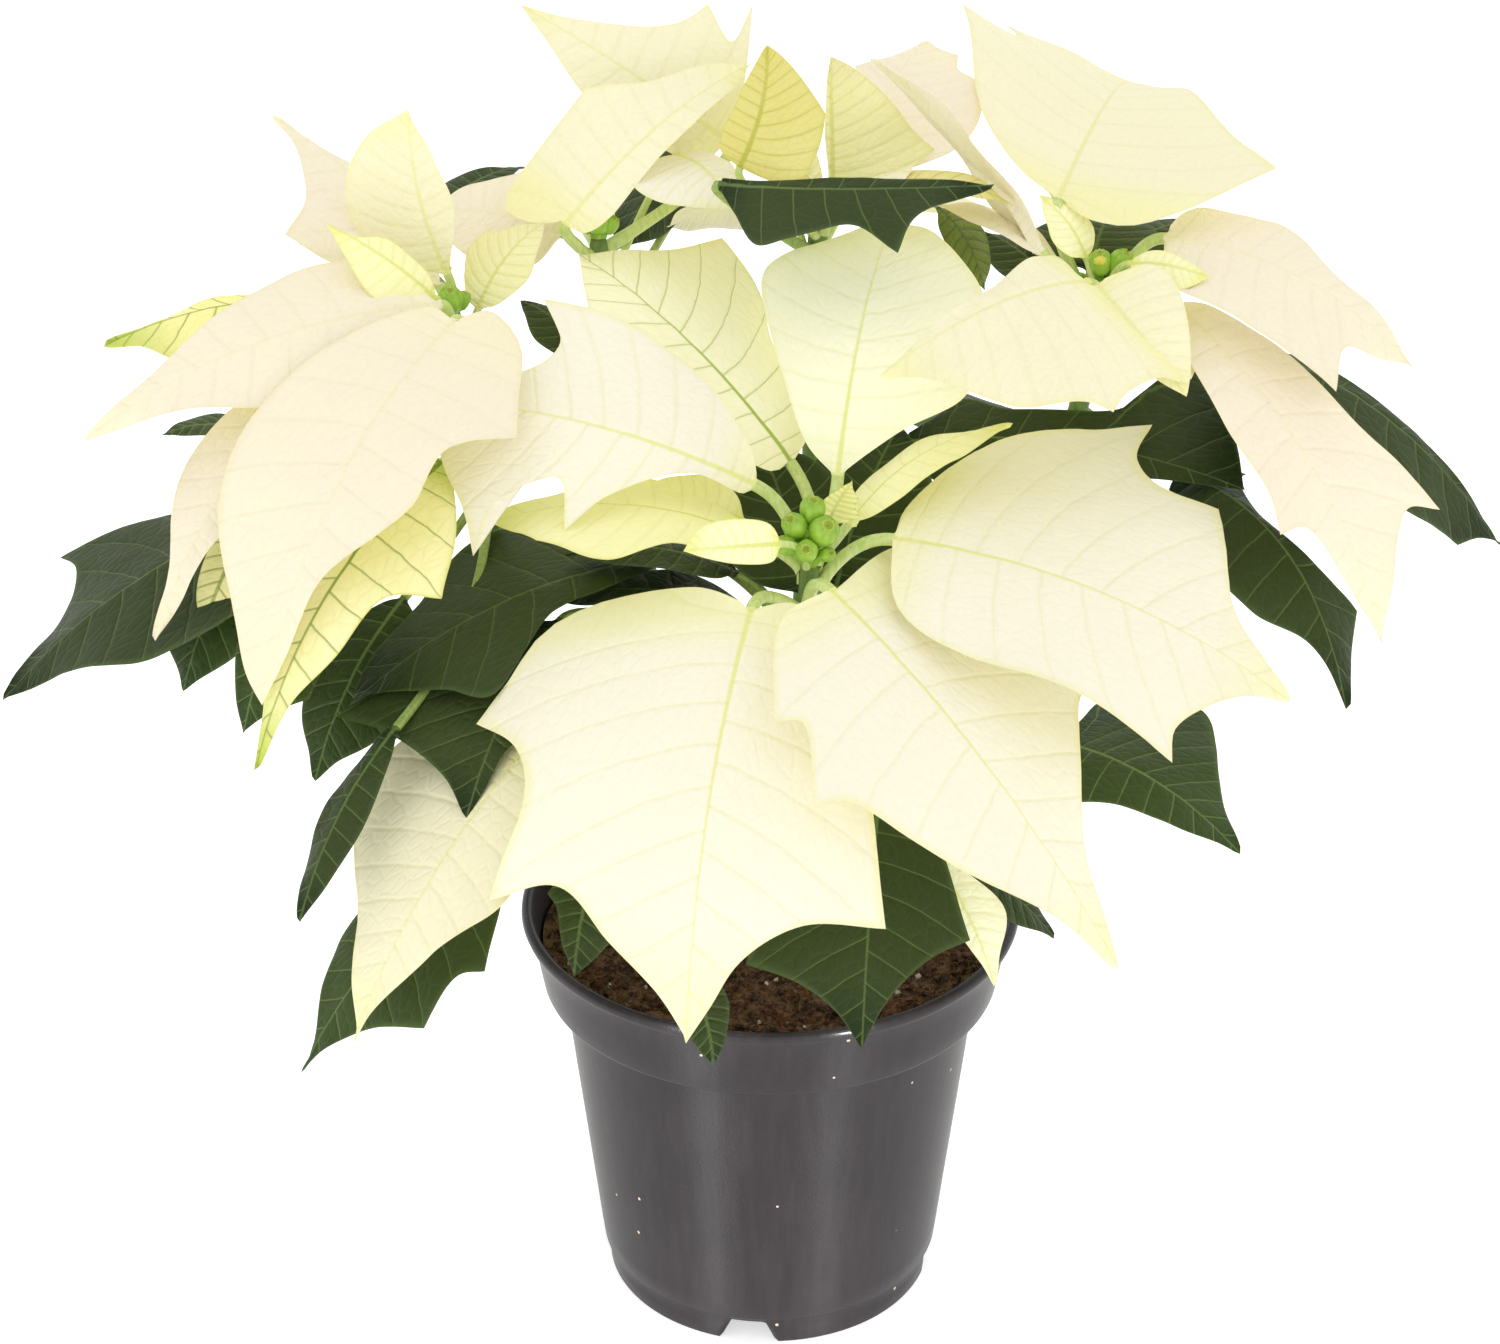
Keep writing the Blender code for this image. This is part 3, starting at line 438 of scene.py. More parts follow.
n.link(cells.outputs[0], mesh_of_cells.inputs["Vector"])
n.link(1.0, mesh_of_cells.inputs["Scale"])
edge = mesh_of_cells.outputs["Distance"]
n.link(n.ramp(edge, 0.0, given["Net width"], 1.0, 0.0), found["Net"])
grooves = n.math("ADD", n.ramp(near_mm, 0.0, 0.9), n.math("MULTIPLY", n.ramp(edge, 0.0, 0.22), 0.6))
n.link(grooves, found["Relief"])
print("vein net:", len(vein_net.nodes), "nodes")

# %% The mottling of living tissue
# Broad shifts show where the blade is thicker, fine grains are single groups of cells.
mottle, n, given, found = node_group(
    "mottle", {"Broad scale": 22.0, "Grain scale": 900.0}, ["Broad", "Grain"])
n.link(n.ramp(n.noise(n.place(), given["Broad scale"], 3.0), 0.3, 0.7), found["Broad"])
n.link(n.noise(n.place(), given["Grain scale"], 2.0), found["Grain"])
print("mottle:", len(mottle.nodes), "nodes")

# %% [markdown]
# ## The blade finishes
#
# A bract is a leaf that has lost its green, so one recipe serves both: a
# ground colour that shifts softly into a second one, veins in their own
# colour, a rim along the margin, and a deeper tint near the stalk and at the
# tip. The finishes of this plant differ only in those colours and in how
# strongly the veins show. Bracts scatter light evenly and look like matt
# paper, while the leaves have a waxy skin with a soft shine.
#
# Light also shines through a thin bract. A weak glow in the bract's own
# colour stands in for that, chosen against the photograph. It is not
# physical, because such a bract stays faintly bright in the dark.


# %% The recipe for a blade finish
CUSHION_DEPTH = 0.0006


def blade_finish(name, ground, second, vein, rim, tip, back, midrib=0.9, veins=0.5, net=0.2,
                 midrib_width=1.1, vein_width=0.45, roughness=0.6, relief=0.3, shine=0.26, glow=0.0):
    """A material for bracts and leaves, mixed from screen colours by the vein net and the mottling.

    `midrib`, `veins` and `net` are the shares of the vein colour, and `glow`
    stands in for the light that shines through.
    """
    made, n, shader = new_material(name)
    net_group = n.add("Group", node_tree=vein_net)
    n.link(midrib_width, net_group.inputs["Midrib width"])
    n.link(vein_width, net_group.inputs["Vein width"])
    tissue = n.add("Group", node_tree=mottle)
    share = n.add("SeparateXYZ")
    n.link(n.add("UVMap", uv_map="share").outputs[0], share.inputs[0])
    along, out = share.outputs[0], share.outputs[1]
    under = n.add("Attribute", attribute_name="underside").outputs["Fac"]
    tint = n.add("Attribute", attribute_name="tint").outputs["Fac"]
    softened = n.math("MULTIPLY_ADD", tissue.outputs["Broad"], 0.5, n.math("MULTIPLY", tint, 0.7))
    colour = n.blend(n.math("MINIMUM", softened, 1.0), screen(*ground), screen(*second))
    near_tip = n.ramp(along, 0.72, 1.0)
    near_stalk = n.ramp(along, 0.16, 0.0)
    colour = n.blend(n.math("MAXIMUM", near_tip, near_stalk), colour, screen(*tip))
    colour = n.blend(n.ramp(out, 0.93, 1.0, 0.0, 0.8), colour, screen(*rim))
    colour = n.blend(n.math("MULTIPLY", net_group.outputs["Net"], net), colour, screen(*vein))
    colour = n.blend(n.math("MULTIPLY", net_group.outputs["Veins"], veins), colour, screen(*vein))
    fading = n.ramp(along, 0.1, 1.0, midrib, midrib * 0.55)
    colour = n.blend(n.math("MULTIPLY", net_group.outputs["Midrib"], fading), colour, screen(*vein))
    colour = n.blend(n.math("MULTIPLY", under, 0.7), colour, screen(*back))
    grain = n.math("MULTIPLY_ADD", tissue.outputs["Grain"], 0.06, 0.97)
    n.link(n.blend(1.0, colour, n.grey(grain), "MULTIPLY"), shader.inputs["Base Color"])
    rough = n.math("MULTIPLY_ADD", tissue.outputs["Grain"], 0.16, roughness - 0.08)
    n.link(n.math("MULTIPLY_ADD", under, 0.15, rough, clamp=True), shader.inputs["Roughness"])
    shader.inputs["Specular IOR Level"].default_value = shine
    n.link(colour, shader.inputs["Emission Color"])
    shader.inputs["Emission Strength"].default_value = glow
    height = n.math("MULTIPLY_ADD", tissue.outputs["Grain"], 0.15, net_group.outputs["Relief"])
    n.bump(height, relief, CUSHION_DEPTH, shader)
    return made


# %% The finishes of this plant
FINISHES = {
    "cream": blade_finish(
        "bract_cream", (254, 250, 226), (252, 246, 222), (236, 236, 146), (248, 242, 180),
        (251, 247, 198), (250, 247, 210), midrib=0.85, veins=0.34, net=0.03),
    "blush": blade_finish(
        "bract_blush", (252, 244, 214), (250, 239, 214), (244, 238, 190), (250, 236, 190),
        (252, 244, 208), (244, 238, 208), midrib=0.5, veins=0.25, net=0.04),
    "butter": blade_finish(
        "bract_butter", (253, 248, 210), (251, 245, 208), (238, 236, 156), (248, 242, 180),
        (250, 246, 186), (249, 245, 204), midrib=0.65, veins=0.24, net=0.03),
    "ivory": blade_finish(
        "bract_ivory", (255, 254, 226), (252, 251, 216), (226, 232, 140), (248, 245, 190),
        (246, 246, 204), (244, 244, 206), midrib=0.85, veins=0.26, net=0.04, glow=0.1),
    "primrose": blade_finish(
        "bract_primrose", (253, 249, 204), (248, 243, 182), (220, 218, 116), (240, 232, 160),
        (243, 234, 180), (241, 237, 176), midrib=0.7, veins=0.35, net=0.15),
    "lemon": blade_finish(
        "bract_lemon", (255, 252, 204), (251, 248, 182), (222, 226, 116), (234, 234, 140),
        (240, 240, 148), (240, 240, 162), midrib=0.75, veins=0.24, net=0.05, midrib_width=0.9, glow=0.05),
    "ribbed": blade_finish(
        "bract_ribbed", (255, 252, 220), (254, 250, 208), (168, 188, 80), (244, 240, 180),
        (249, 244, 196), (246, 243, 196), midrib=1.0, veins=0.55, net=0.12, glow=0.08),
    "olive": blade_finish(
        "bract_olive", (242, 233, 164), (230, 219, 126), (196, 194, 78), (220, 210, 110),
        (228, 218, 124), (226, 220, 130), midrib=0.9, veins=0.5, net=0.25),
    "net": blade_finish(
        "bract_green_net", (255, 250, 190), (251, 246, 160), (128, 154, 46), (216, 218, 104),
        (196, 208, 92), (240, 236, 160), midrib=1.0, veins=0.62, net=0.13, vein_width=0.5,
        midrib_width=1.3, glow=0.08),
    "leaf": blade_finish(
        "leaf_green", (54, 67, 33), (64, 77, 39), (104, 126, 70), (70, 94, 36), (36, 50, 22),
        (92, 106, 74), midrib=0.9, veins=0.55, net=0.1, midrib_width=0.9, vein_width=0.34,
        roughness=0.5, relief=0.35, shine=0.13),
    # A lighter copy of the leaf green, as painted sheen: the left and lower leaves look brighter from the
    # sheen at their angle, and this colour paints that in.
    "leaf_soft": blade_finish(
        "leaf_sheen_painted_green", (58, 76, 34), (70, 86, 44), (122, 144, 86), (84, 108, 46), (54, 74, 34),
        (100, 114, 80), midrib=0.9, veins=0.55, net=0.1, midrib_width=0.9, vein_width=0.34,
        roughness=0.5, relief=0.35, shine=0.14),
    "mottled": blade_finish(
        "leaf_mottled", (44, 66, 24), (150, 164, 52), (70, 96, 36), (90, 112, 40), (128, 146, 48),
        (92, 108, 56), midrib=0.6, veins=0.6, net=0.35, roughness=0.45, relief=0.4),
}
print("blade finishes:", ", ".join(FINISHES))


# %% [markdown]
# ## Green stalks and stems
#
# The stalks of the bracts are a fresh yellow green with fine lengthwise
# streaks, and glossy like a bean pod. The main stem is older and turns
# brown near the soil. Stretched noise on Object coordinates draws the
# streaks, because stems and stalks mostly run upward.

# %% Stalk and stem finishes
STREAK_SCALE = (1.0, 1.0, 0.12)
STREAK_DEPTH = 0.0003


def stalk_finish(name, ground, streak, roughness):
    """A shiny green with lengthwise streaks."""
    made, n, shader = new_material(name)
    stretched = n.add("Mapping")
    n.link(n.place(), stretched.inputs["Vector"])
    stretched.inputs["Scale"].default_value = STREAK_SCALE
    lines = n.noise(stretched.outputs[0], 900.0, 3.0)
    broad = n.noise(n.place(), 60.0, 2.0)
    colour = n.blend(n.ramp(lines, 0.35, 0.7), screen(*ground), screen(*streak))
    colour = n.blend(n.ramp(broad, 0.35, 0.75, 0.0, 0.5), colour, screen(*streak))
    n.link(colour, shader.inputs["Base Color"])
    n.link(n.math("MULTIPLY_ADD", lines, 0.2, roughness), shader.inputs["Roughness"])
    n.bump(lines, 0.3, STREAK_DEPTH, shader)
    return made


young_stalk = stalk_finish("stalk_young", (214, 226, 150), (192, 212, 118), 0.32)
leaf_stalk = stalk_finish("stalk_leaf", (164, 184, 104), (138, 164, 80), 0.36)
green_stem = stalk_finish("stem_green", (112, 140, 62), (92, 116, 54), 0.4)
old_stem = stalk_finish("stem_old", (96, 96, 58), (110, 88, 62), 0.6)
print("stalk finishes ready")

# %% [markdown]
# ## The pot
#
# The pot is moulded from thin black plastic: a tapering wall, a wider band
# under a rolled lip, and a small step above the foot. Its section is one
# closed line, so the pot is that line turned about the upright axis. A lathe
# alone can't make the four notches in the foot, so the lower edge of the foot
# ring is a function of the angle: it rises to the notch's height where a
# notch is. Small cutters then drill the four drain holes in the base.

# %% The pot's section
WALL = 1.1
# (radius, height) from the middle of the underside, round the outside, to the middle of the inside
POT_SECTION = [
    (4, 0), (10, 0), (13.4, 0), (14, 0.5), (14.2, 4), (14.3, 7.2), (14.8, 7.8), (24, 7.8), (33, 7.8),
    (41.8, 7.8), (42.4, 7.2), (42.5, 4), (42.5, 0.5), (42.7, 0), (43.3, 0), (43.6, 0.5), (43.7, 4),
    (43.85, 7.2), (44.2, 7.9), (44.9, 8.2), (45.25, 8.7), (45.9, 14), (47.5, 28), (49.6, 46), (51.7, 64),
    (53.4, 79), (54.2, 86), (54.6, 88.2), (55.2, 88.9), (57.5, 89.3), (58.9, 89.5), (59.5, 89.9),
    (59.8, 90.6), (60.6, 95), (61.6, 101), (62.5, 106.2), (62.9, 107), (63.9, 107.4), (64.6, 108.1),
    (65, 109.2), (64.9, 110.1), (64.4, 110.75), (63.6, 111), (62.8, 110.8), (62.2, 110.2), (61.7, 108.6),
    (61.3, 106.5), (60.2, 100), (58.8, 92.6), (58.3, 91.2), (57.4, 90.6), (54.4, 90), (53.5, 89.4),
    (53, 86), (49.6, 56), (46.2, 26), (44.4, 11), (43.9, 9.3), (42.6, 8.9), (28, 8.9), (13.6, 8.9),
    (13.2, 8.4), (12.9, 3), (12.6, 1.5), (11.8, 1.1), (6, 1.1)]
NOTCH_ANGLES = (-97.6, -7.6, 82.4, 172.4)
NOTCH_HEIGHT = 6.6
NOTCH_HALF_TOP = 5.9
NOTCH_HALF_BOTTOM = 9.9
# the foot ring lies between these radii and ends at this height
FOOT_INSIDE, FOOT_OUTSIDE, FOOT_TOP = 42.2, 43.9, 7.2
POT_STEPS = 240
DRAIN_RADIUS, DRAIN_CIRCLE = 4.0, 28.0
DRAIN_ANGLES = (-52, 38, 128, 218)


def pot_rings():
    """Section points turned about Z: (r cos a, r sin a, z).

    In a notch the foot ring's points rise: z becomes rise + z · (top - rise) / top.
    """
    a = np.linspace(0, 360, POT_STEPS, endpoint=False)
    section = np.array(POT_SECTION)
    off = np.min([np.abs((a - angle + 180) % 360 - 180) for angle in NOTCH_ANGLES], axis=0)
    slope = (NOTCH_HALF_BOTTOM - off) / (NOTCH_HALF_BOTTOM - NOTCH_HALF_TOP)
    rise = NOTCH_HEIGHT * np.clip(slope, 0, 1)
    ring = (section[:, 0] > FOOT_INSIDE) & (section[:, 0] < FOOT_OUTSIDE)
    low = ring & (section[:, 1] < FOOT_TOP)
    radius = np.repeat(section[:, :1], POT_STEPS, axis=1)
    height = np.repeat(section[:, 1:], POT_STEPS, axis=1)
    lifted = rise[None] + height * (FOOT_TOP - rise[None]) / FOOT_TOP
    height = np.where(low[:, None], lifted, height)
    ways = np.radians(a)[None]
    return np.stack([radius * np.cos(ways), radius * np.sin(ways), height], -1)


def drilled(mesh, holes):
    """The mesh less upright round holes (x, y, radius) through the base."""
    piece = bpy.data.objects.new("pot_blank", mesh)
    bpy.context.collection.objects.link(piece)
    cutters = []
    for x, y, radius in holes:
        path = np.array([[x, y, z] for z in (5.0, 7.0, 9.0, 11.0)])
        drill = closed_skin("drill", tube(path, np.full(4, radius), 24), path[0], path[-1])
        cutter = bpy.data.objects.new("drill", drill)
        bpy.context.collection.objects.link(cutter)
        cutters.append(cutter)
        modifier = piece.modifiers.new("drain", "BOOLEAN")
        modifier.operation, modifier.solver, modifier.object = "DIFFERENCE", "EXACT", cutter
    found = piece.evaluated_get(bpy.context.evaluated_depsgraph_get())
    result = bpy.data.meshes.new_from_object(found)
    for thing in [piece] + cutters:
        bpy.data.objects.remove(thing)
    return result


# %% Moulded black plastic
# Dust and grains of soil cling to the wall, and the matt skin of the mould shows as a fine grain.
# The pot's highlights are tall and narrow. An anisotropic shine draws them so when its tangent
# runs round the pot and is turned by a quarter.
MOULD_GRAIN_DEPTH = 0.0002
PLASTIC = {"Specular IOR Level": 0.15, "Anisotropic": 0.9, "Anisotropic Rotation": 0.25,
           "Coat Weight": 0.3, "Coat Roughness": 0.12}


def plastic_finish():
    """Black plastic with broad and streaky dust, round specks of soil and stretched highlights."""
    made, n, shader = new_material("pot_plastic")
    broad = n.noise(n.place(), 14.0, 4.0, 0.6)
    flow = n.add("Mapping")
    n.link(n.place(), flow.inputs["Vector"])
    flow.inputs["Scale"].default_value = (1.0, 1.0, 0.06)
    streaks = n.noise(flow.outputs[0], 420.0, 3.0)
    dust = n.math("MULTIPLY_ADD", streaks, 0.35, n.math("MULTIPLY", broad, 0.65))
    colour = n.blend(n.ramp(dust, 0.3, 0.75), screen(22, 19, 20), screen(34, 30, 32))
    specks = n.add("TexVoronoi", feature="F1")
    n.link(n.place(), specks.inputs["Vector"])
    n.link(120.0, specks.inputs["Scale"])
    size = n.math("MULTIPLY", n.ramp(n.noise(n.place(), 40.0, 1.0), 0.3, 0.55), 0.048)
    spot = n.ramp(specks.outputs["Distance"], size, n.math("ADD", size, 0.02), 1.0, 0.0)
    spot = n.math("MULTIPLY", spot, n.ramp(size, 0.01, 0.03))
    colour = n.blend(n.math("MULTIPLY", spot, 0.7), colour, screen(176, 156, 138))
    n.link(colour, shader.inputs["Base Color"])
    n.link(n.math("MULTIPLY_ADD", dust, 0.08, 0.38), shader.inputs["Roughness"])
    circling = n.add("VectorMath", operation="CROSS_PRODUCT")
    circling.inputs[0].default_value = (0, 0, 1)
    n.link(n.place(), circling.inputs[1])
    n.link(circling.outputs[0], shader.inputs["Tangent"])
    for socket, value in PLASTIC.items():
        shader.inputs[socket].default_value = value
    skin = n.noise(n.place(), 1500.0, 2.0)
    n.bump(n.math("MULTIPLY_ADD", streaks, 0.8, skin), 0.25, MOULD_GRAIN_DEPTH, shader)
    return made


# %% Build the pot
rings = pot_rings()
holes = [(DRAIN_CIRCLE * math.cos(math.radians(a)), DRAIN_CIRCLE * math.sin(math.radians(a)), DRAIN_RADIUS)
         for a in DRAIN_ANGLES]
blank = closed_skin("pot_shell", rings, (0, 0, 0), (0, 0, WALL))
shell = drilled(blank, holes)
pot_shell = put("pot_shell", shell, [plastic_finish()], "pot", "pot")
# Light linking: the strips light only what is in this collection.
pot_only = bpy.data.collections.new("pot_only")
pot_only.objects.link(pot_shell)
for name in ("strip_left", "strip_right"):
    bpy.data.objects[name].light_linking.receiver_collection = pot_only
print("pot:", len(shell.polygons), "faces,", 2 * rings[..., 0].max(), "mm across")

# %% [markdown]
# ## The soil
#
# Peat lies about a centimetre below the lip. It is a loose surface of crumbs,
# with pieces of bark, reddish fibres and white grains of perlite on it. The
# crumbs are a height map on a disc: several sizes of noise added up. The
# pieces on top are scattered as small closed shapes with a few faces
# each, because there are hundreds of them and a bump map would look flat.

# %% The crumbly surface
SOIL_TOP = 100.5
SOIL_RIM = 59.6
SOIL_RINGS, SOIL_STEPS = 64, 220


def soil_height(x, y):
    """Height of the soil: a low mound plus crumbs of 9, 4, 2 and 1 millimetres."""
    flat = np.stack([x, y, np.zeros_like(x)], -1)
    crumbs = 1.1 * unevenness(flat, 9.0, 11) + 0.8 * np.abs(unevenness(flat, 4.0, 12))
    crumbs += 0.7 * np.abs(unevenness(flat, 2.0, 13)) + 0.3 * unevenness(flat, 1.0, 14)
    return SOIL_TOP + crumbs - 0.6 * (np.hypot(x, y) / SOIL_RIM) ** 6


bearings = np.linspace(0, 2 * np.pi, SOIL_STEPS + 1)[:-1]
r, a = np.meshgrid(SOIL_RIM * np.linspace(0.02, 1, SOIL_RINGS), bearings, indexing="ij")
top = np.stack([r * np.cos(a), r * np.sin(a), soil_height(r * np.cos(a), r * np.sin(a))], -1)
deeper = [(59.4, 96), (57.8, 91.8), (52.8, 89.4), (43.5, 9.3), (2, 9.3)]
wall = np.stack([np.stack([radius * np.cos(a[0]), radius * np.sin(a[0]), np.full(SOIL_STEPS, height)], -1)
                 for radius, height in deeper])
soil_mesh = closed_skin("soil_bed", np.concatenate([top, wall]), (0, 0, SOIL_TOP + 0.5), (0, 0, 9.3))
print("soil:", len(soil_mesh.polygons), "faces")


# %% Small shapes to scatter
def scattered(name, places, turns, sizes, template, faces):
    """One mesh of many copies: each copy is the template · size, turned, and moved to its place."""
    copies = np.einsum("nij,nvj->nvi", turns, template[None] * sizes[:, None]) + places[:, None]
    count = len(template)
    joined = (faces[None] + (np.arange(len(places)) * count)[:, None, None]).reshape(-1, faces.shape[1])
    mesh = bpy.data.meshes.new(name)
    mesh.from_pydata((copies.reshape(-1, 3) * MM).tolist(), [], joined.tolist())
    return mesh


def random_turns(count, dice):
    """Rotation matrices from random unit quaternions (w, x, y, z)."""
    w, x, y, z = unit(dice.normal(size=(count, 4))).T
    rows = [[1 - 2 * (y * y + z * z), 2 * (x * y - w * z), 2 * (x * z + w * y)],
            [2 * (x * y + w * z), 1 - 2 * (x * x + z * z), 2 * (y * z - w * x)],
            [2 * (x * z - w * y), 2 * (y * z + w * x), 1 - 2 * (x * x + y * y)]]
    return np.moveaxis(np.array(rows), -1, 0)


def pebble(seed):
    """A lumpy ball of 20 faces: the corners of an icosahedron, each at its own distance."""
    g = (1 + 5 ** 0.5) / 2
    corners = unit(np.array([(-1, g, 0), (1, g, 0), (-1, -g, 0), (1, -g, 0), (0, -1, g), (0, 1, g),
                             (0, -1, -g), (0, 1, -g), (g, 0, -1), (g, 0, 1), (-g, 0, -1), (-g, 0, 1)]))
    faces = np.array([(0, 11, 5), (0, 5, 1), (0, 1, 7), (0, 7, 10), (0, 10, 11), (1, 5, 9), (5, 11, 4),
                      (11, 10, 2), (10, 7, 6), (7, 1, 8), (3, 9, 4), (3, 4, 2), (3, 2, 6), (3, 6, 8),
                      (3, 8, 9), (4, 9, 5), (2, 4, 11), (6, 2, 10), (8, 6, 7), (9, 8, 1)])
    spread = np.random.default_rng(seed).uniform(0.75, 1.2, (12, 1))
    return corners * spread, faces


def on_soil(count, dice, lift, reach=0.965):
    """Random places on the soil, evenly by area, lifted by a share of a millimetre."""
    r = SOIL_RIM * reach * np.sqrt(dice.uniform(0.01, 1, count))
    a = dice.uniform(0, 2 * np.pi, count)
    x, y = r * np.cos(a), r * np.sin(a)
    return np.stack([x, y, soil_height(x, y) + lift], -1)


# %% Finishes of the soil
CRUMB_DEPTH = 0.0005


def crumb_finish(name, dark, light, scale, roughness=0.95):
    """Two earth colours mixed by coarse and fine noise."""
    made, n, shader = new_material(name)
    coarse = n.noise(n.place(), scale, 5.0, 0.7)
    fine = n.noise(n.place(), scale * 5, 3.0, 0.6)
    colour = n.blend(n.ramp(n.math("MULTIPLY_ADD", fine, 0.4, n.math("MULTIPLY", coarse, 0.6)), 0.4, 0.62),
                     screen(*dark), screen(*light))
    n.link(colour, shader.inputs["Base Color"])
    n.link(n.math("MULTIPLY_ADD", fine, 0.1, roughness - 0.1), shader.inputs["Roughness"])
    shader.inputs["Specular IOR Level"].default_value = 0.25
    n.bump(fine, 0.8, CRUMB_DEPTH, shader)
    return made


peat = crumb_finish("soil_peat", (58, 41, 31), (132, 100, 76), 260.0)
bark = crumb_finish("soil_bark", (58, 36, 26), (128, 88, 60), 200.0)
fibre = crumb_finish("soil_fibre", (96, 48, 30), (158, 96, 62), 500.0)
perlite = crumb_finish("soil_perlite", (196, 188, 178), (236, 230, 222), 700.0, 0.9)

# %% Scatter crumbs, bark, perlite and fibres
dice = np.random.default_rng(5)
put("soil_bed", soil_mesh, [peat], "soil", "soil")
GRAINS = [("soil_crumbs", peat, 1500, 0.5, 1.5, 0.9), ("soil_bark_chips", bark, 420, 0.5, 1.6, 0.5),
          ("soil_perlite_grains", perlite, 95, 0.4, 1.0, 0.9)]
for number, (name, finish, count, small, large, flat) in enumerate(GRAINS):
    template, faces = pebble(20 + number)
    sizes = dice.uniform(small, large, (count, 1))
    sizes = sizes * dice.uniform([1, 1, flat * 0.6], [1.5, 1, flat], (count, 3))
    put(name, scattered(name, on_soil(count, dice, 0.3), random_turns(count, dice), sizes, template, faces),
        [finish], "soil")
    print(name, count)


def bent_straw():
    """A thin three-sided straw of unit length with a bend: rings of three points along a parabola."""
    t = np.linspace(-0.5, 0.5, 6)
    path = np.stack([t, 0.9 * t * t, np.zeros(6)], -1)
    rings = tube(path, np.array([0.01, 0.045, 0.05, 0.05, 0.045, 0.01]), 3, (0.0, 0.0, 1.0))
    k = np.arange(3)
    bands = [np.stack([r * 3 + k, r * 3 + (k + 1) % 3, (r + 1) * 3 + (k + 1) % 3, (r + 1) * 3 + k], -1)
             for r in range(5)]
    halves = [np.concatenate([band[:, [0, 1, 2]], band[:, [0, 2, 3]]]) for band in bands]
    return rings.reshape(-1, 3), np.concatenate(halves + [np.array([[2, 1, 0], [15, 16, 17]])])


count = 240
template, faces = bent_straw()
turns = random_turns(count, dice)
flatter = turns.copy()
flatter[:, 2] *= 0.3
sizes = np.repeat(dice.uniform(2.5, 7.5, (count, 1)), 3, axis=1)
places = on_soil(count, dice, 0.9, 0.94)
put("soil_fibres", scattered("soil_fibres", places, flatter, sizes, template, faces), [fibre], "soil")
print("soil_fibres", count)

# %% [markdown]
# ## Stems
#
# The main stem was pinched off when the plant was young, so it ends in a
# short stub and five side stems leave it below that. Each side stem is a
# tapering tube along a curve with one control point, which leaves the main
# stem sideways and then rises to its flower head. Where leaves sit, a stem is
# slightly thicker, so its radius gets a row of soft swellings.

# %% The stems' places
MAIN_BOTTOM, MAIN_TOP = 70.4, 141.0
MAIN_RADII = (5.0, 3.9)
BRANCH_RADII = (3.2, 2.4)
# name: (height on the main stem, bearing in degrees, control point, top)
BRANCHES = {
    "a": (116, -71, (8, -25, 160), (9, -26, 222)),
    "b": (122, 157, (-72, 28, 150), (-81, 37, 256)),
    "c": (136, 124, (-42, 52, 168), (-44, 58, 272)),
    "d": (128, 79, (12, 54, 168), (12, 62, 276)),
    "e": (134, 30, (76, 45, 168), (84, 52, 259)),
}


def branch_path(name, count):
    """(1-t)² foot + 2t(1-t) control + t² top, from just outside the main stem, and the radii along it."""
    height, bearing, control, top = BRANCHES[name]
    way = np.radians(bearing)
    foot = np.array([np.cos(way), np.sin(way), 0]) * (MAIN_RADII[1] + 1.5) + [0, 0, height]
    t = np.linspace(0, 1, count)[:, None]
    path = (1 - t) ** 2 * foot + 2 * t * (1 - t) * np.array(control, float) + t * t * np.array(top, float)
    return path, np.linspace(*BRANCH_RADII, count)


def stem_at(name, drop):
    """Centre and radius of a stem `drop` millimetres below its top."""
    if name == "main":
        height = MAIN_TOP - drop
        share = (height - MAIN_BOTTOM) / (MAIN_TOP - MAIN_BOTTOM)
        return np.array([0, 0, height]), float(np.interp(share, [0, 1], MAIN_RADII))
    path, radii = branch_path(name, 65)
    height = path[-1, 2] - drop
    centre = np.array([np.interp(height, path[:, 2], path[:, k]) for k in range(3)])
    return centre, float(np.interp(height, path[:, 2], radii))


# %% Build the stems
JOINT_SWELL, JOINT_SPACING = 0.06, 13
STEM_LOBES = 0.02
STEM_WANDER, STEM_LUMPS = 0.12, 3.0


def stem_mesh(name, path, radii, seed):
    """A tube that swells by 6 % at the leaf joints, with five faint ribs and 0.12 mm of unevenness."""
    length = np.concatenate([[0], np.cumsum(np.linalg.norm(np.diff(path, axis=0), axis=1))])
    joints = 1 + JOINT_SWELL * np.cos(2 * np.pi * length / JOINT_SPACING) ** 8
    rings = tube(path, radii * joints, 28, lobes=STEM_LOBES)
    around = unit(rings - path[:, None])
    rings = rings + around * (STEM_WANDER * unevenness(rings, STEM_LUMPS, seed))[..., None]
    round_off = 0.5 * (path[-1] - path[-2]) / max(np.linalg.norm(path[-1] - path[-2]), 1e-9)
    return closed_skin(name, rings, path[0], path[-1] + round_off)


z = np.linspace(MAIN_BOTTOM, MAIN_TOP, 60)
upright = np.stack([0.5 * np.sin(z / 17), 0.4 * np.cos(z / 13), z], -1)
put("main_stem_skin", stem_mesh("main_stem_skin", upright, np.linspace(*MAIN_RADII, 60), 3),
    [old_stem], "stem", "main_stem")
for number, name in enumerate(BRANCHES):
    path, radii = branch_path(name, 64)
    inside = np.array([0.0, 0.0, path[0, 2] - 2.5])
    path = np.concatenate([[inside, (inside + path[0]) / 2], path])
    radii = np.concatenate([[2.6, 3.0], radii])
    radii[-1] *= 0.8
    put(f"stem_{name}_skin", stem_mesh(f"stem_{name}_skin", path, radii, 30 + number), [green_stem],
        "stem", "stem_" + name)
    print("stem", name, "reaches", BRANCHES[name][3][2], "mm")

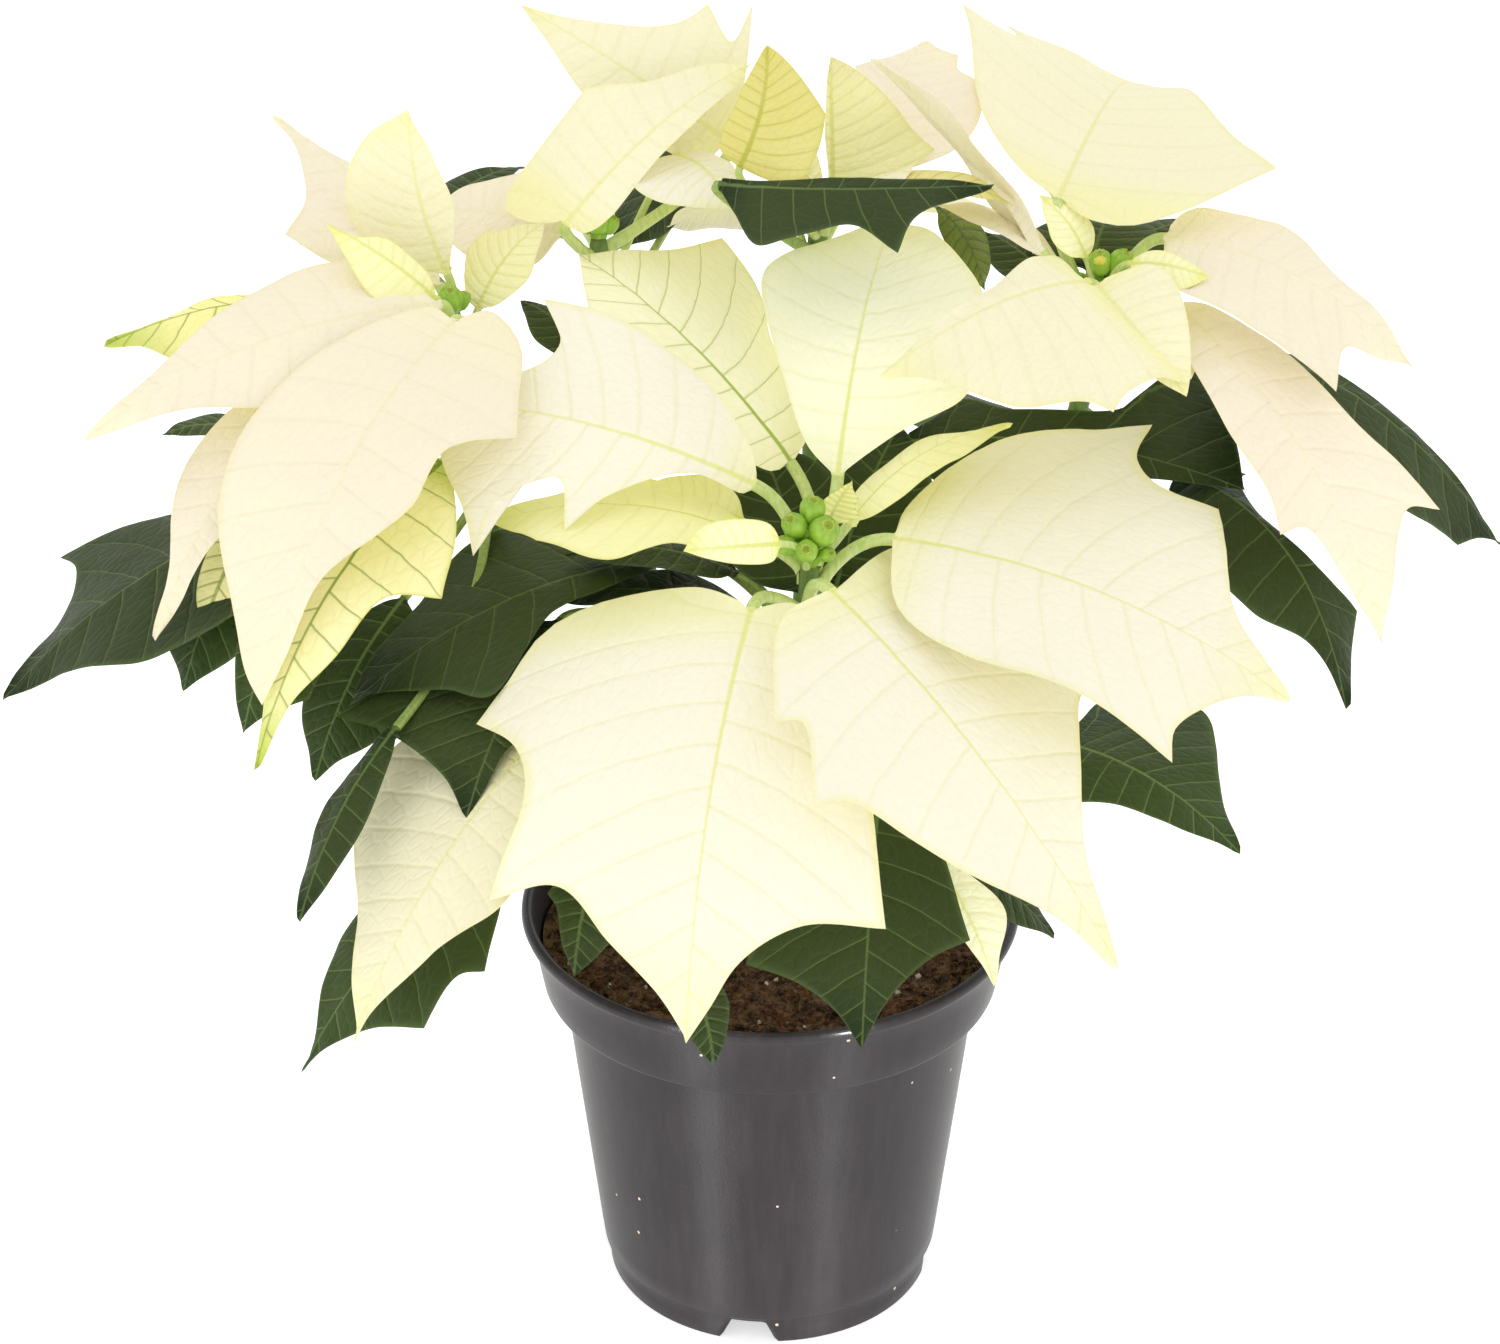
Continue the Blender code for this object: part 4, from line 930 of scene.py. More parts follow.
# %% [markdown]
# ## How a blade is drawn
#
# A blade's margin is given by a few knots, as shares of the blade's length
# along and across from the midrib, and a smooth curve runs through them. At a
# tooth the curve is broken, so the tooth stays sharp. The midrib is a gentle
# arch from base to tip. Each half hangs a little from it and may curl.
#
# The rows of the skin follow the side veins: they leave the midrib almost
# square and bend towards the tip, until they reach the margin. The
# same row number then draws the veins in the finish, lifts the soft cushions
# between them and lets the margin ripple, so all three agree.
#
# These skins have a known flaw. Where a stalk meets its blade, and in some
# curled margins, rings cross, and about 3 faces in 1000 fold over and look
# inward.

# %% The path of a side vein
VEIN_LEAN = 1.3
VEIN_BEND = 0.45
VEIN_BEND_GAIN = 1.1


def vein_place(v, y):
    """How far along the blade a vein that starts at v is when it is y out.

    That is v + 1.3 v² y + (0.45 + 1.1 v) y².
    """
    return v + VEIN_LEAN * v * v * y + (VEIN_BEND + VEIN_BEND_GAIN * v) * y * y


def vein_start(x, y):
    """The start v of the vein that passes (x, y): the root of vein_place(v, y) = x, a quadratic in v."""
    linear = 1 + VEIN_BEND_GAIN * y * y
    rest = x - VEIN_BEND * y * y
    return 2 * rest / (linear + np.sqrt(np.maximum(linear ** 2 + 4 * VEIN_LEAN * y * rest, 1e-9)))


print("the vein from 0.4 is at", round(vein_place(0.4, 0.3), 3), "when 0.3 out")

# %% The margin
TOOTH = 1
MARGIN_DIP = 0.07
MARGIN_SAMPLES = 60
FAN_SHARE = 0.15


def smooth_run(knots, count):
    """A curve through knots, as count + 1 points.

    It is a Catmull-Rom curve whose knot times grow by the root of the chord:
    each point blends straight lines between neighbouring knots three times over.
    """
    knots = np.array(knots, float)
    if len(knots) == 2:
        chord = knots[1] - knots[0]
        inward = np.array([chord[1], -chord[0]]) * (-1 if chord[0] < 0 else 1)
        knots = np.array([knots[0], knots.mean(axis=0) + MARGIN_DIP * inward, knots[1]])
    knots = np.vstack([2 * knots[0] - knots[1], knots, 2 * knots[-1] - knots[-2]])
    time = np.concatenate([[0], np.cumsum(np.linalg.norm(np.diff(knots, axis=0), axis=1) ** 0.5)])
    now = np.linspace(time[1], time[-2], count + 1)
    i = np.clip(np.searchsorted(time, now, side="right") - 1, 1, len(knots) - 3)

    def mix(first, second, start, end):
        share = ((now - time[i + start]) / (time[i + end] - time[i + start]))[:, None]
        return first * (1 - share) + second * share

    lines = [mix(knots[i + k], knots[i + k + 1], k, k + 1) for k in (-1, 0, 1)]
    return mix(mix(lines[0], lines[1], -1, 1), mix(lines[1], lines[2], 0, 2), 0, 1)


def margin(side, half_stalk):
    """One margin as many points, the row each belongs to, and the rows of its teeth.

    A point's row is mostly the start of the vein through it, never less than
    before, plus a small share of the way along the margin.
    """
    knots = [(0, half_stalk, TOOTH)] + list(side) + [(1, 0, TOOTH)]
    pieces, run, teeth = [np.array([knots[0][:2]])], [knots[0][:2]], []
    for knot in knots[1:]:
        run.append(knot[:2])
        if len(knot) == 3:
            pieces.append(smooth_run(run, MARGIN_SAMPLES * len(run))[1:])
            teeth.append(sum(len(piece) for piece in pieces) - 1)
            run = [knot[:2]]
    points = np.vstack(pieces)
    way = np.concatenate([[0], np.cumsum(np.linalg.norm(np.diff(points, axis=0), axis=1))])
    way /= way[-1]
    vein = np.maximum.accumulate(np.clip(vein_start(*points.T), 0, 1))
    row = (1 - FAN_SHARE) * vein + FAN_SHARE * way
    return points, row, way, row[teeth[:-1]]


def row_places(sides, count):
    """count + 1 rows from 0 to 1, spread by the mean way along both margins, with one on every tooth."""
    even = np.linspace(0, 1, count + 1)
    rows = np.mean([np.interp(even, way, row) for _, row, way, _ in sides], axis=0)
    for tooth in sorted(t for side in sides for t in side[3]):
        nearest = 1 + np.argmin(np.abs(rows[1:-1] - tooth))
        rows[nearest] = tooth
    return np.sort(rows)


# %% The midrib and the blade's own directions
def blade_axes(base, tip, roll):
    """Length, and unit vectors to the tip, to the left and out of the upper face.

    The roll tips the face to the right.
    """
    along = np.array(tip, float) - base
    length = np.linalg.norm(along)
    along = along / length
    up = unit(np.array([0, 0, 1.0]) - along[2] * along)
    tilted = up * math.cos(math.radians(roll)) - np.cross(up, along) * math.sin(math.radians(roll))
    return length, np.array([along, np.cross(tilted, along), tilted])


def midrib_points(u, arch, bend, skew):
    """Midrib as a curve with one control point (0.5 + skew, -2 bend, 2 arch): its points and directions."""
    pull, slope = 2 * u * (1 - u), 2 * (1 - 2 * u)
    points = np.stack([pull * (0.5 + skew) + u * u, -2 * pull * bend, 2 * pull * arch], -1)
    ways = np.stack([slope * (0.5 + skew) + 2 * u, -2 * slope * bend, 2 * slope * arch], -1)
    return points, unit(ways)


def lay_on_blade(x, y, shape):
    """Blade surface at x along and y across (left positive), in lengths, and its upward normals.

    From the midrib each half hangs by the fold and bends on by the curl per
    half length, so a section is an arc: chord = y · sin(b/2) / (b/2) for bend b.
    """
    points, ways = midrib_points(x, shape["arch"], shape["bend"], shape["skew"])
    left = unit(np.cross([0.0, 0.0, 1.0], ways))
    up = np.cross(ways, left)
    out, sign = np.abs(y), np.sign(y)[..., None]
    bow = np.radians(shape["curl"]) * out / 0.5
    hang = np.radians(shape["fold"]) + bow / 2
    chord = (out * np.sinc(bow / 2 / np.pi))[..., None]
    points = points + left * chord * np.cos(hang)[..., None] * sign - up * chord * np.sin(hang)[..., None]
    final = (np.radians(shape["fold"]) + bow)[..., None]
    return points, unit(up * np.cos(final) + left * np.sin(final) * sign)


# %% The skin of one blade
MM_PER_ROW = 0.95
MM_PER_COLUMN = 2.4
STALK_RINGS = 16
COLUMN_POWER = 1.25
# The first side veins leave the midrib close together, and the right half's are numbered further.
EARLY_VEINS, EARLY_SPAN = 1.1, 0.04
VEIN_OFFSET = 0.45
# Height and size in millimetres of the unevenness, and depth and width of the groove on the midrib.
BROAD_LUMPS, FINE_LUMPS = (0.9, 22.0), (0.16, 4.5)
GROOVE_DEPTH, GROOVE_WIDTH = 0.35, 1.1
KINDS = {
    # stalk radius, thickness at the margin, cushion height, margin ripple, pairs of side veins
    "bract": (1.55, 0.34, 0.16, 0.90, 10),
    "leaf": (1.40, 0.40, 0.34, 0.80, 9),
}


def blade_grid(length, sides, stalk_radius, shape, kind, seed):
    """Upper and lower skin of a blade in its own axes, in millimetres, and the numbers its finish needs.

    Row r leaves the midrib at its own place and follows the side vein to the
    margin, where a share s² of the gap to the margin's point is added. The
    cushions between veins are |sin|-shaped, and the ripple grows as s³.
    """
    _, edge, cushion, ripple, pairs = KINDS[kind]
    count = int(np.clip(round(length / MM_PER_ROW), 26, 112))
    widest = max(side[0][:, 1].max() for side in sides) * length
    half = int(np.clip(round(widest / MM_PER_COLUMN), 6, 16))
    rows = row_places(sides, count)[1:-1]
    j = np.arange(-half, half + 1)
    s = (np.abs(j) / half) ** COLUMN_POWER
    reach = [np.stack([np.interp(rows, row, points[:, k]) for k in (0, 1)], -1)
             for points, row, _, _ in sides]
    margin_x = np.where(j < 0, reach[0][:, :1], reach[1][:, :1])
    margin_y = np.where(j < 0, reach[0][:, 1:], reach[1][:, 1:])
    out = margin_y * s
    gap = margin_x - vein_place(rows[:, None], margin_y)
    x = vein_place(rows[:, None], out) + gap * s ** 2
    y = -np.sign(j) * out
    surface, normal = lay_on_blade(x, y, shape)
    early = EARLY_VEINS * (1 - np.exp(-rows / EARLY_SPAN))
    veins = (pairs * rows + early)[:, None]
    number = np.where(j > 0, veins + VEIN_OFFSET, veins)
    lift = np.abs(np.sin(np.pi * number)) ** 0.8 - 0.6
    waves = np.sin(2 * np.pi * (veins * shape["waves"] + 0.37 * seed + (j > 0) * 0.4))
    flat = np.stack([x, y, np.full_like(x, 0.1 * seed)], -1) * length
    height = cushion * lift * np.minimum(s * 5, 1) * (1 - s ** 6)
    height += shape["ripple"] * ripple * s ** 3 * waves * min(1.0, length / 80)
    height += BROAD_LUMPS[0] * s * unevenness(flat, BROAD_LUMPS[1], seed)
    height += FINE_LUMPS[0] * unevenness(flat, FINE_LUMPS[1], seed + 1)
    mm_out = out * length
    groove = GROOVE_DEPTH * np.exp(-(mm_out / GROOVE_WIDTH) ** 2) * (1 - rows[:, None])
    upper = surface * length + normal * (height - groove)[..., None]
    rib = stalk_radius * (1.5 * np.exp(-rows / 0.16) + 0.35 * (1 - rows))[:, None]
    rib_width = stalk_radius * (0.55 + 0.4 * np.exp(-rows / 0.2))[:, None]
    depth = edge * (1 - s ** 8) + rib * np.exp(-(mm_out / rib_width) ** 2)
    lower = upper - normal * depth[..., None]
    maps = dict(x=x, y=y, s=s + 0 * x, veins=np.broadcast_to(veins, x.shape))
    return upper, lower, maps, pairs


# %% The stalk of one blade
STALK_BEND_LEAST, STALK_BEND_MOST = 0.16, 0.5
STALK_SINK = 0.6
STALK_REACH_LEAST = 4
FOOT_SWELL, FOOT_SPAN = 0.35, 0.08
STALK_GROOVE, STALK_GROOVE_ANGLE = 0.22, 0.5


def stalk_rings(base, stem, drop, axes, shape, radius, half):
    """Rings from inside the stem to the blade's base, in the blade's own axes.

    The path is a curve with one control point on the midrib's line. It lies
    close to the base where the stalk has to turn back. The foot is thicker, and
    the section is round with a shallow groove on top.
    """
    centre, stem_radius = stem_at(stem, drop)
    base = np.array(base, float)
    _, start = midrib_points(np.zeros(1), shape["arch"], shape["bend"], shape["skew"])
    tangent, gap = start[0] @ axes, np.linalg.norm(base - centre)
    straight = max(0.0, tangent @ (base - centre) / gap)
    control = base - tangent * gap * (STALK_BEND_LEAST + (STALK_BEND_MOST - STALK_BEND_LEAST) * straight)
    out = (control - centre) * [1, 1, 0.0]
    if np.linalg.norm(out) < STALK_REACH_LEAST:
        out = (base - centre) * [1, 1, 0.0]
    foot = centre + unit(out) * (stem_radius - STALK_SINK * radius)
    t = np.linspace(0, 1, STALK_RINGS)[:, None]
    path = (1 - t) ** 2 * foot + 2 * t * (1 - t) * control + t * t * base
    path = (path - base) @ axes.T
    way, side, up = side_vectors(path[::-1], (0.0, 1.0, 0.0))
    side, up = side[::-1], -up[::-1]
    angle = np.linspace(np.pi, -np.pi, 4 * half + 1)[:-1]
    thick = radius * (1 + FOOT_SWELL * np.exp(-t[:, 0] / FOOT_SPAN))
    groove = STALK_GROOVE * np.exp(-((angle - np.pi / 2) / STALK_GROOVE_ANGLE) ** 2)
    across = -np.cos(angle)[None, :, None] * side[:, None]
    height = (np.sin(angle) * (1 - groove) - 0.5)[None, :, None] * up[:, None]
    return path[:, None] + thick[:, None, None] * (across + height), path


# %% Build one blade
def build_blade(name, finish, stem, drop, base, tip, left, right, arch=0.1, bend=0.0, skew=0.0, roll=0,
                fold=5, curl=0, ripple=1.0, waves=0.23, tint=None, node=True):
    """A blade with its stalk, as one closed skin from the foot of the stalk to the tip."""
    shape = dict(arch=arch, bend=bend, skew=skew, fold=fold, curl=curl, ripple=ripple, waves=waves)
    kind = "leaf" if name.startswith("leaf") else "bract"
    seed = sum(ord(letter) * (place + 1) for place, letter in enumerate(name)) % 997
    radius = KINDS[kind][0]
    length, axes = blade_axes(base, tip, roll)
    radius = radius * min(1.0, 0.35 + length / 110)
    sides = [margin(side, 0.6 * radius / length) for side in (left, right)]
    upper, lower, maps, pairs = blade_grid(length, sides, radius, shape, kind, seed)
    rows, half = upper.shape[0], (upper.shape[1] - 1) // 2
    stalk, path = stalk_rings(base, stem, drop, axes, shape, radius, half)
    rings = np.concatenate([stalk, np.concatenate([upper, lower[:, -2:0:-1]], axis=1)])
    tip_point = lay_on_blade(np.ones(1), np.zeros(1), shape)[0][0] * length
    place = np.arange(4 * half)
    column = np.where(place <= 2 * half, place, 4 * half - place)
    on_left = (place < half) | (place >= 3 * half)
    way = np.linalg.norm(path - path[-1], axis=1)

    def around(values, before):
        """Values of the blade's grid carried round each ring, with the stalk's own before them."""
        grid = values[:, column]
        return np.concatenate([np.broadcast_to(before, (len(stalk), len(place))), grid])

    def pair(first, second):
        """A UV map whose two sides are the same at every point."""
        one = np.stack([first, second], -1)
        return np.stack([one, np.roll(one, -1, axis=1)], 2)

    along = around(maps["x"] * length, -way[:, None])
    across = around(maps["y"] * length, np.zeros(1))
    count = around(maps["veins"], np.zeros(1))
    shift = np.where(on_left, 0.0, VEIN_OFFSET)
    spacing = length / pairs / 10
    veins = np.stack([np.stack([count + shift, np.full_like(count, spacing)], -1),
                      np.stack([np.roll(count, -1, axis=1) + shift, np.full_like(count, spacing)], -1)], 2)
    shared = {"blade": pair(along / 100, across / 100), "veins": veins,
              "share": pair(along / length, around(maps["s"], np.zeros(1)))}
    beneath = (place > 2 * half).astype(float)
    beneath[[0, 2 * half]] = 0.5
    tags = {"underside": np.concatenate([np.zeros((len(stalk), len(place))), np.tile(beneath, (rows, 1))]),
            "tint": np.full((len(stalk) + rows, len(place)), (seed % 100) / 100 if tint is None else tint)}
    slots = np.where(np.arange(len(rings) - 1) < len(stalk) - 1, 1, 0)
    mesh = closed_skin(name + "_skin", rings @ axes + base, stalk_end(stalk) @ axes + base,
                       tip_point @ axes + base, shared, tags, slots)
    stalk_look = leaf_stalk if kind == "leaf" else young_stalk
    slot = "leaf" if kind == "leaf" else BRACT_SLOTS.get(name, "bract")
    put(name + "_skin", mesh, [FINISHES[finish], stalk_look], slot, *([name] if node else []))
    return length, len(mesh.polygons)


def stalk_end(stalk):
    """The middle of the stalk's first ring."""
    return stalk[0].mean(axis=0)


BRACT_SLOTS = {"bract_a4": "bract_young", "bract_a8": "bract_young", "bract_b4": "bract_young",
               "bract_d3": "bract_young", "bract_a6": "bract_veined", "bract_b7": "bract_veined",
               "bract_b8": "bract_veined", "bract_d1": "bract_veined"}
BLADES = []


def blade(*facts, **shape):
    """Notes down one blade for the loop that builds them all."""
    BLADES.append((facts, shape))


# %% [markdown]
# ## The blades of this plant
#
# Each entry gives the finish, the stem and how far below its top the stalk
# starts, the blade's base and tip in millimetres, and the left and right
# margins as knots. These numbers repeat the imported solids, so each skin lies
# where its solid is. Blades with node=False are extra ones that the packed
# model leaves out. Most fill the heads between the larger ones, and bract_e8
# completes a corner of bract_e4 that its own margin can't reach.

# %% Head A, in front
blade("bract_a1", "cream", "a", 13, (-5, -46, 219), (-20, -113, 141),
      [(-.03, .10), (.12, .28), (.44, .36), (.72, .42, TOOTH), (.73, .24), (.82, .11), (.92, .05)],
      [(-.06, .17), (.02, .50), (.17, .58), (.28, .64, TOOTH), (.37, .50), (.50, .45),
       (.77, .52, TOOTH), (.71, .34), (.81, .20), (.90, .08)], arch=.145, fold=4, curl=18)
blade("bract_a2", "cream", "a", 10, (14, -46, 224), (80, -100, 153),
      [(-.07, .29), (-.04, .45), (.13, .59), (.29, .51), (.45, .55, TOOTH), (.49, .40),
       (.76, .12), (.90, .04)],
      [(.02, .17), (.20, .36, TOOTH), (.23, .31), (.39, .43, TOOTH), (.41, .36), (.52, .29),
       (.70, .18), (.88, .06)], arch=.08, bend=.03, fold=2, curl=12)
blade("bract_a3", "cream", "a", 7, (29, -26, 228), (124, -46, 194),
      [(.00, .13), (.13, .46), (.25, .57), (.37, .65), (.49, .79, TOOTH), (.48, .58), (.57, .50),
       (.71, .51, TOOTH), (.75, .35), (.81, .18), (.92, .05)],
      [(.07, .23), (.25, .32), (.55, .33), (.78, .37, TOOTH), (.76, .28), (.83, .15), (.93, .05)],
      arch=.09, fold=2, curl=8, roll=15)
blade("bract_a4", "lemon", "a", 1, (18, -18, 228), (59, 3, 245),
      [(.08, .13), (.31, .24), (.66, .20), (.88, .08)],
      [(.09, .10), (.33, .20), (.76, .14)], arch=.115, fold=10, roll=-9)
blade("bract_a5", "ivory", "a", 4, (16, -6, 235), (31, 59, 277),
      [(.09, .11), (.30, .22), (.43, .28), (.74, .37), (.88, .26)],
      [(.15, .17), (.29, .36), (.50, .40), (.77, .32), (.94, .15)], arch=.1, fold=6, roll=-3)
blade("bract_a6", "ribbed", "a", 10, (5, 5, 234), (-49, 51, 271),
      [(.00, .08), (.15, .22), (.39, .29), (.68, .28, TOOTH), (.81, .16)],
      [(.06, .13), (.24, .21), (.40, .29), (.56, .41), (.83, .51, TOOTH), (.88, .32), (.93, .13)],
      arch=.06, fold=2)
blade("bract_a7", "cream", "a", 7, (-4, -15, 237), (-84, 10, 247),
      [(.02, .04), (.17, .05), (.37, .19), (.46, .32, TOOTH), (.52, .18), (.58, .20), (.71, .31),
       (.72, .45, TOOTH), (.79, .32), (.91, .18)],
      [(.04, .09), (.20, .26), (.45, .36), (.81, .42, TOOTH), (.68, .25), (.76, .14), (.91, .10)],
      arch=.13, fold=6, curl=10, roll=-38)
blade("bract_a8", "lemon", "a", 2, (-6, -21, 227), (-70, -8, 223),
      [(.10, .20), (.23, .23), (.31, .29), (.43, .38), (.73, .27, TOOTH), (.88, .11)],
      [(.20, .21), (.56, .25), (.82, .17)], arch=.1, fold=5)

# %% Head B, on the left
blade("bract_b1", "blush", "b", 9, (-78, 18, 266), (-122, -46, 193),
      [(-.06, .05), (-.01, .17), (.15, .27), (.24, .32, TOOTH), (.33, .19), (.48, .18), (.57, .14),
       (.71, .06), (.88, .03)],
      [(-.01, .07), (.04, .11), (.25, .24), (.44, .28), (.64, .25), (.74, .20), (.85, .12), (.95, .05)],
      arch=.16, fold=0, curl=10, roll=-12)
blade("bract_b2", "blush", "b", 4, (-82, 29, 266), (-170, 10, 237),
      [(.14, .11), (.43, .20), (.71, .10), (.85, .05)],
      [(.08, .10), (.18, .19), (.31, .21), (.46, .17), (.62, .12), (.80, .06)],
      arch=.135, fold=6, curl=8, roll=-32)
blade("bract_b3", "blush", "b", 12, (-110, 22, 248), (-150, -26, 200),
      [(.21, .23), (.47, .15), (.64, .08), (.86, .04)],
      [(.11, .19), (.36, .26), (.60, .17), (.82, .06)], arch=.12, fold=8)
blade("bract_b4", "butter", "b", 1, (-82, 46, 267), (-90, 50, 309),
      [(.08, .18), (.22, .36), (.39, .47), (.62, .45), (.84, .27), (.95, .09)],
      [(.10, .09), (.26, .18), (.51, .23), (.72, .16), (.88, .07)], arch=.02, bend=-.05, fold=-6, roll=-88)
blade("bract_b6", "blush", "b", 7, (-84, 52, 262), (-130, 92, 293),
      [(.07, .13), (.26, .36), (.42, .44, TOOTH), (.53, .25), (.69, .13), (.85, .05)],
      [(.15, .08), (.37, .10), (.60, .05)], arch=.08, fold=6)
blade("bract_b7", "net", "b", 16, (-101, 59, 252), (-167, 30, 254),
      [(.08, .14), (.21, .30), (.60, .42), (.84, .24, TOOTH), (.91, .11)],
      [(.08, .16), (.44, .15), (.72, .05)], arch=.1, fold=8)
blade("bract_b8", "net", "b", 22, (-81, 0, 236), (-124, -53, 179),
      [(.04, .08), (.20, .23), (.38, .32, TOOTH), (.45, .16), (.66, .11), (.82, .05)],
      [(.05, .06), (.16, .10), (.42, .12), (.67, .10), (.83, .06)], arch=.12, fold=8)

# %% Head C, back left
blade("bract_c1", "butter", "c", 3, (-11, 78, 291), (-65, 104, 319),
      [(.04, .13), (.24, .18), (.53, .18), (.82, .07)],
      [(.06, .20), (.23, .51, TOOTH), (.21, .33), (.37, .40, TOOTH), (.42, .28), (.67, .10)],
      arch=.08, fold=4, roll=-48)
blade("bract_c2", "butter", "c", 6, (-52, 50, 279), (-5, 84, 310),
      [(-.08, .13), (-.10, .28), (.07, .31, TOOTH), (.19, .33), (.44, .35, TOOTH), (.60, .22), (.83, .12)],
      [(.02, .08), (.13, .12), (.45, .09), (.65, .08), (.87, .05)], arch=.12, fold=10, roll=30)
blade("bract_c3", "cream", "c", 14, (-24, 74, 289), (-9, 47, 284),
      [(.10, .20), (.40, .26), (.80, .16)],
      [(.04, .30), (.25, .58), (.62, .64), (.90, .30)], arch=.1, fold=4)
blade("bract_c4", "blush", "c", 10, (-53, 62, 272), (-90, 84, 270),
      [(.07, .28), (.44, .34), (.80, .16)],
      [(.10, .28), (.33, .39), (.71, .26), (.89, .14)], arch=.08, fold=4, roll=-30)

# %% Head D, at the back
blade("bract_d1", "olive", "d", 2, (-8, 50, 294), (-1, 66, 320.5),
      [(.05, .20), (.22, .25), (.62, .18), (.86, .09)],
      [(.02, .36), (.08, .58), (.26, .60), (.50, .57, TOOTH), (.70, .33), (.90, .12)],
      arch=.02, bend=.08, fold=-8)
blade("bract_d3", "primrose", "d", 1, (16, 67, 281), (15, 71, 316),
      [(.10, .03), (.50, .05), (.80, .03)],
      [(.03, .30), (.12, .55), (.27, .76, TOOTH), (.40, .62), (.67, .42), (.88, .20), (.95, .10)],
      arch=0, fold=-4)
blade("bract_d4", "blush", "e", 2, (69, 47, 273), (25, 75, 314),
      [(.10, .05), (.28, .11), (.60, .10), (.90, .05)],
      [(.10, .05), (.28, .10), (.66, .05), (.90, .03)], arch=.04, fold=4, roll=62)
blade("bract_d5", "blush", "d", 7, (21, 76, 282), (41, 112, 307),
      [(.10, .10), (.30, .16), (.55, .18), (.72, .30, TOOTH), (.80, .13), (.92, .06)],
      [(.10, .28), (.30, .50), (.54, .54), (.76, .44), (.84, .28), (.96, .22, TOOTH), (.95, .10)],
      arch=.1, fold=8)

# %% Head E, on the right
blade("bract_e1", "butter", "e", 4, (73, 60, 282), (100, 146, 284),
      [(.03, .10), (.18, .30), (.48, .45), (.69, .53, TOOTH), (.74, .35), (.82, .41, TOOTH),
       (.86, .26), (.95, .09)],
      [(-.04, .12), (-.03, .24), (.08, .40), (.24, .56, TOOTH), (.35, .43), (.62, .25), (.88, .10)],
      arch=.12, fold=-10, roll=12)
blade("bract_e2", "blush", "e", 4, (100, 55, 274), (161, 28, 249),
      [(.00, .18), (.05, .26), (.30, .28), (.57, .15), (.81, .07)],
      [(.06, .16), (.15, .29), (.40, .32), (.83, .38, TOOTH), (.77, .18), (.90, .08)],
      arch=.12, fold=6, roll=12)
blade("bract_e3", "blush", "e", 8, (102, 40, 261), (151, -15, 193),
      [(.04, .08), (.17, .14), (.46, .18), (.64, .27), (.78, .33, TOOTH), (.74, .23), (.80, .14),
       (.90, .07)],
      [(.04, .06), (.13, .10), (.36, .14), (.55, .14), (.66, .17, TOOTH), (.67, .10), (.80, .05)],
      arch=.14, fold=4, curl=8, roll=10)
blade("bract_e4", "butter", "e", 6, (79, 34, 270), (25, -20, 267),
      [(-.14, .14), (-.18, .30), (-.12, .45), (.04, .48, TOOTH), (.12, .45), (.32, .47), (.46, .52, TOOTH),
       (.52, .46), (.72, .36), (.83, .21), (.92, .08)],
      [(-.06, .17), (.12, .15), (.42, .08), (.76, .04)], arch=.1, fold=4, curl=6, roll=-22)

# %% A pale bract and the green leaves that the photograph's side shows
blade("bract_w1", "butter", "a", 40, (-58, -48, 184), (-100, -86, 123),
      [(.05, .10), (.19, .19), (.43, .27), (.66, .14), (.85, .05)],
      [(.00, .28), (.16, .47), (.34, .48, TOOTH), (.53, .36), (.77, .15), (.90, .06)], arch=.07, fold=6)
blade("leaf_l1", "leaf", "a", 24, (-21, 8, 207), (-104, -26, 182),
      [(.08, .05), (.27, .09), (.42, .14), (.69, .36), (.78, .21), (.93, .04)],
      [(-.01, .20), (.14, .31), (.45, .40), (.76, .21), (.93, .08)], arch=.1, fold=4)
blade("leaf_l2", "leaf", "a", 32, (-52, -14, 200), (-73, -60, 170),
      [(.05, .15), (.23, .35), (.59, .25, TOOTH), (.66, .10), (.88, .04)],
      [(.05, .12), (.20, .32), (.50, .60), (.69, .78, TOOTH), (.73, .49), (.85, .18)], arch=.1, fold=6)
blade("leaf_l3", "leaf_soft", "main", 8, (-67, -40, 149), (-115, -72, 105),
      [(.03, .08), (.12, .20), (.33, .40, TOOTH), (.40, .34), (.61, .38, TOOTH), (.73, .18), (.88, .06)],
      [(.05, .10), (.20, .23), (.55, .24), (.69, .16), (.85, .05)], arch=.1, fold=6)
blade("leaf_l4", "leaf", "b", 26, (-118, 16, 218), (-193, -8, 174),
      [(.06, .15), (.21, .39), (.54, .37), (.84, .12)],
      [(.13, .24), (.33, .32), (.50, .42), (.71, .52, TOOTH), (.67, .36), (.77, .16), (.90, .06)],
      arch=.08, fold=6)
blade("leaf_l6", "leaf_soft", "b", 34, (-105, -10, 225), (-128, -40, 182),
      [(.10, .12), (.39, .32), (.77, .28, TOOTH), (.89, .10)],
      [(.10, .05), (.38, .07), (.64, .19), (.85, .10)], arch=.1, fold=6)
blade("leaf_l7", "leaf_soft", "b", 44, (-93, 10, 194), (-114, -21, 158),
      [(.08, .14), (.24, .34), (.71, .27), (.90, .08)],
      [(.08, .10), (.30, .24), (.74, .20), (.90, .08)], arch=.1, fold=6)
blade("leaf_r1", "leaf", "a", 26, (35, 46, 221), (121, 29, 215),
      [(.05, .08), (.13, .18), (.29, .12), (.59, .17), (.71, .32), (.79, .47), (.92, .26)],
      [(.03, .06), (.10, .15), (.32, .26), (.60, .12), (.85, .04)], arch=.1, fold=6, roll=25)
blade("leaf_r2", "leaf", "e", 30, (106, 41, 215), (144, -11, 173),
      [(.00, .30), (.12, .14), (.26, .07), (.53, .06), (.75, .20, TOOTH), (.90, .09)],
      [(.05, .12), (.32, .28), (.63, .22), (.79, .08)], arch=.2, fold=15)
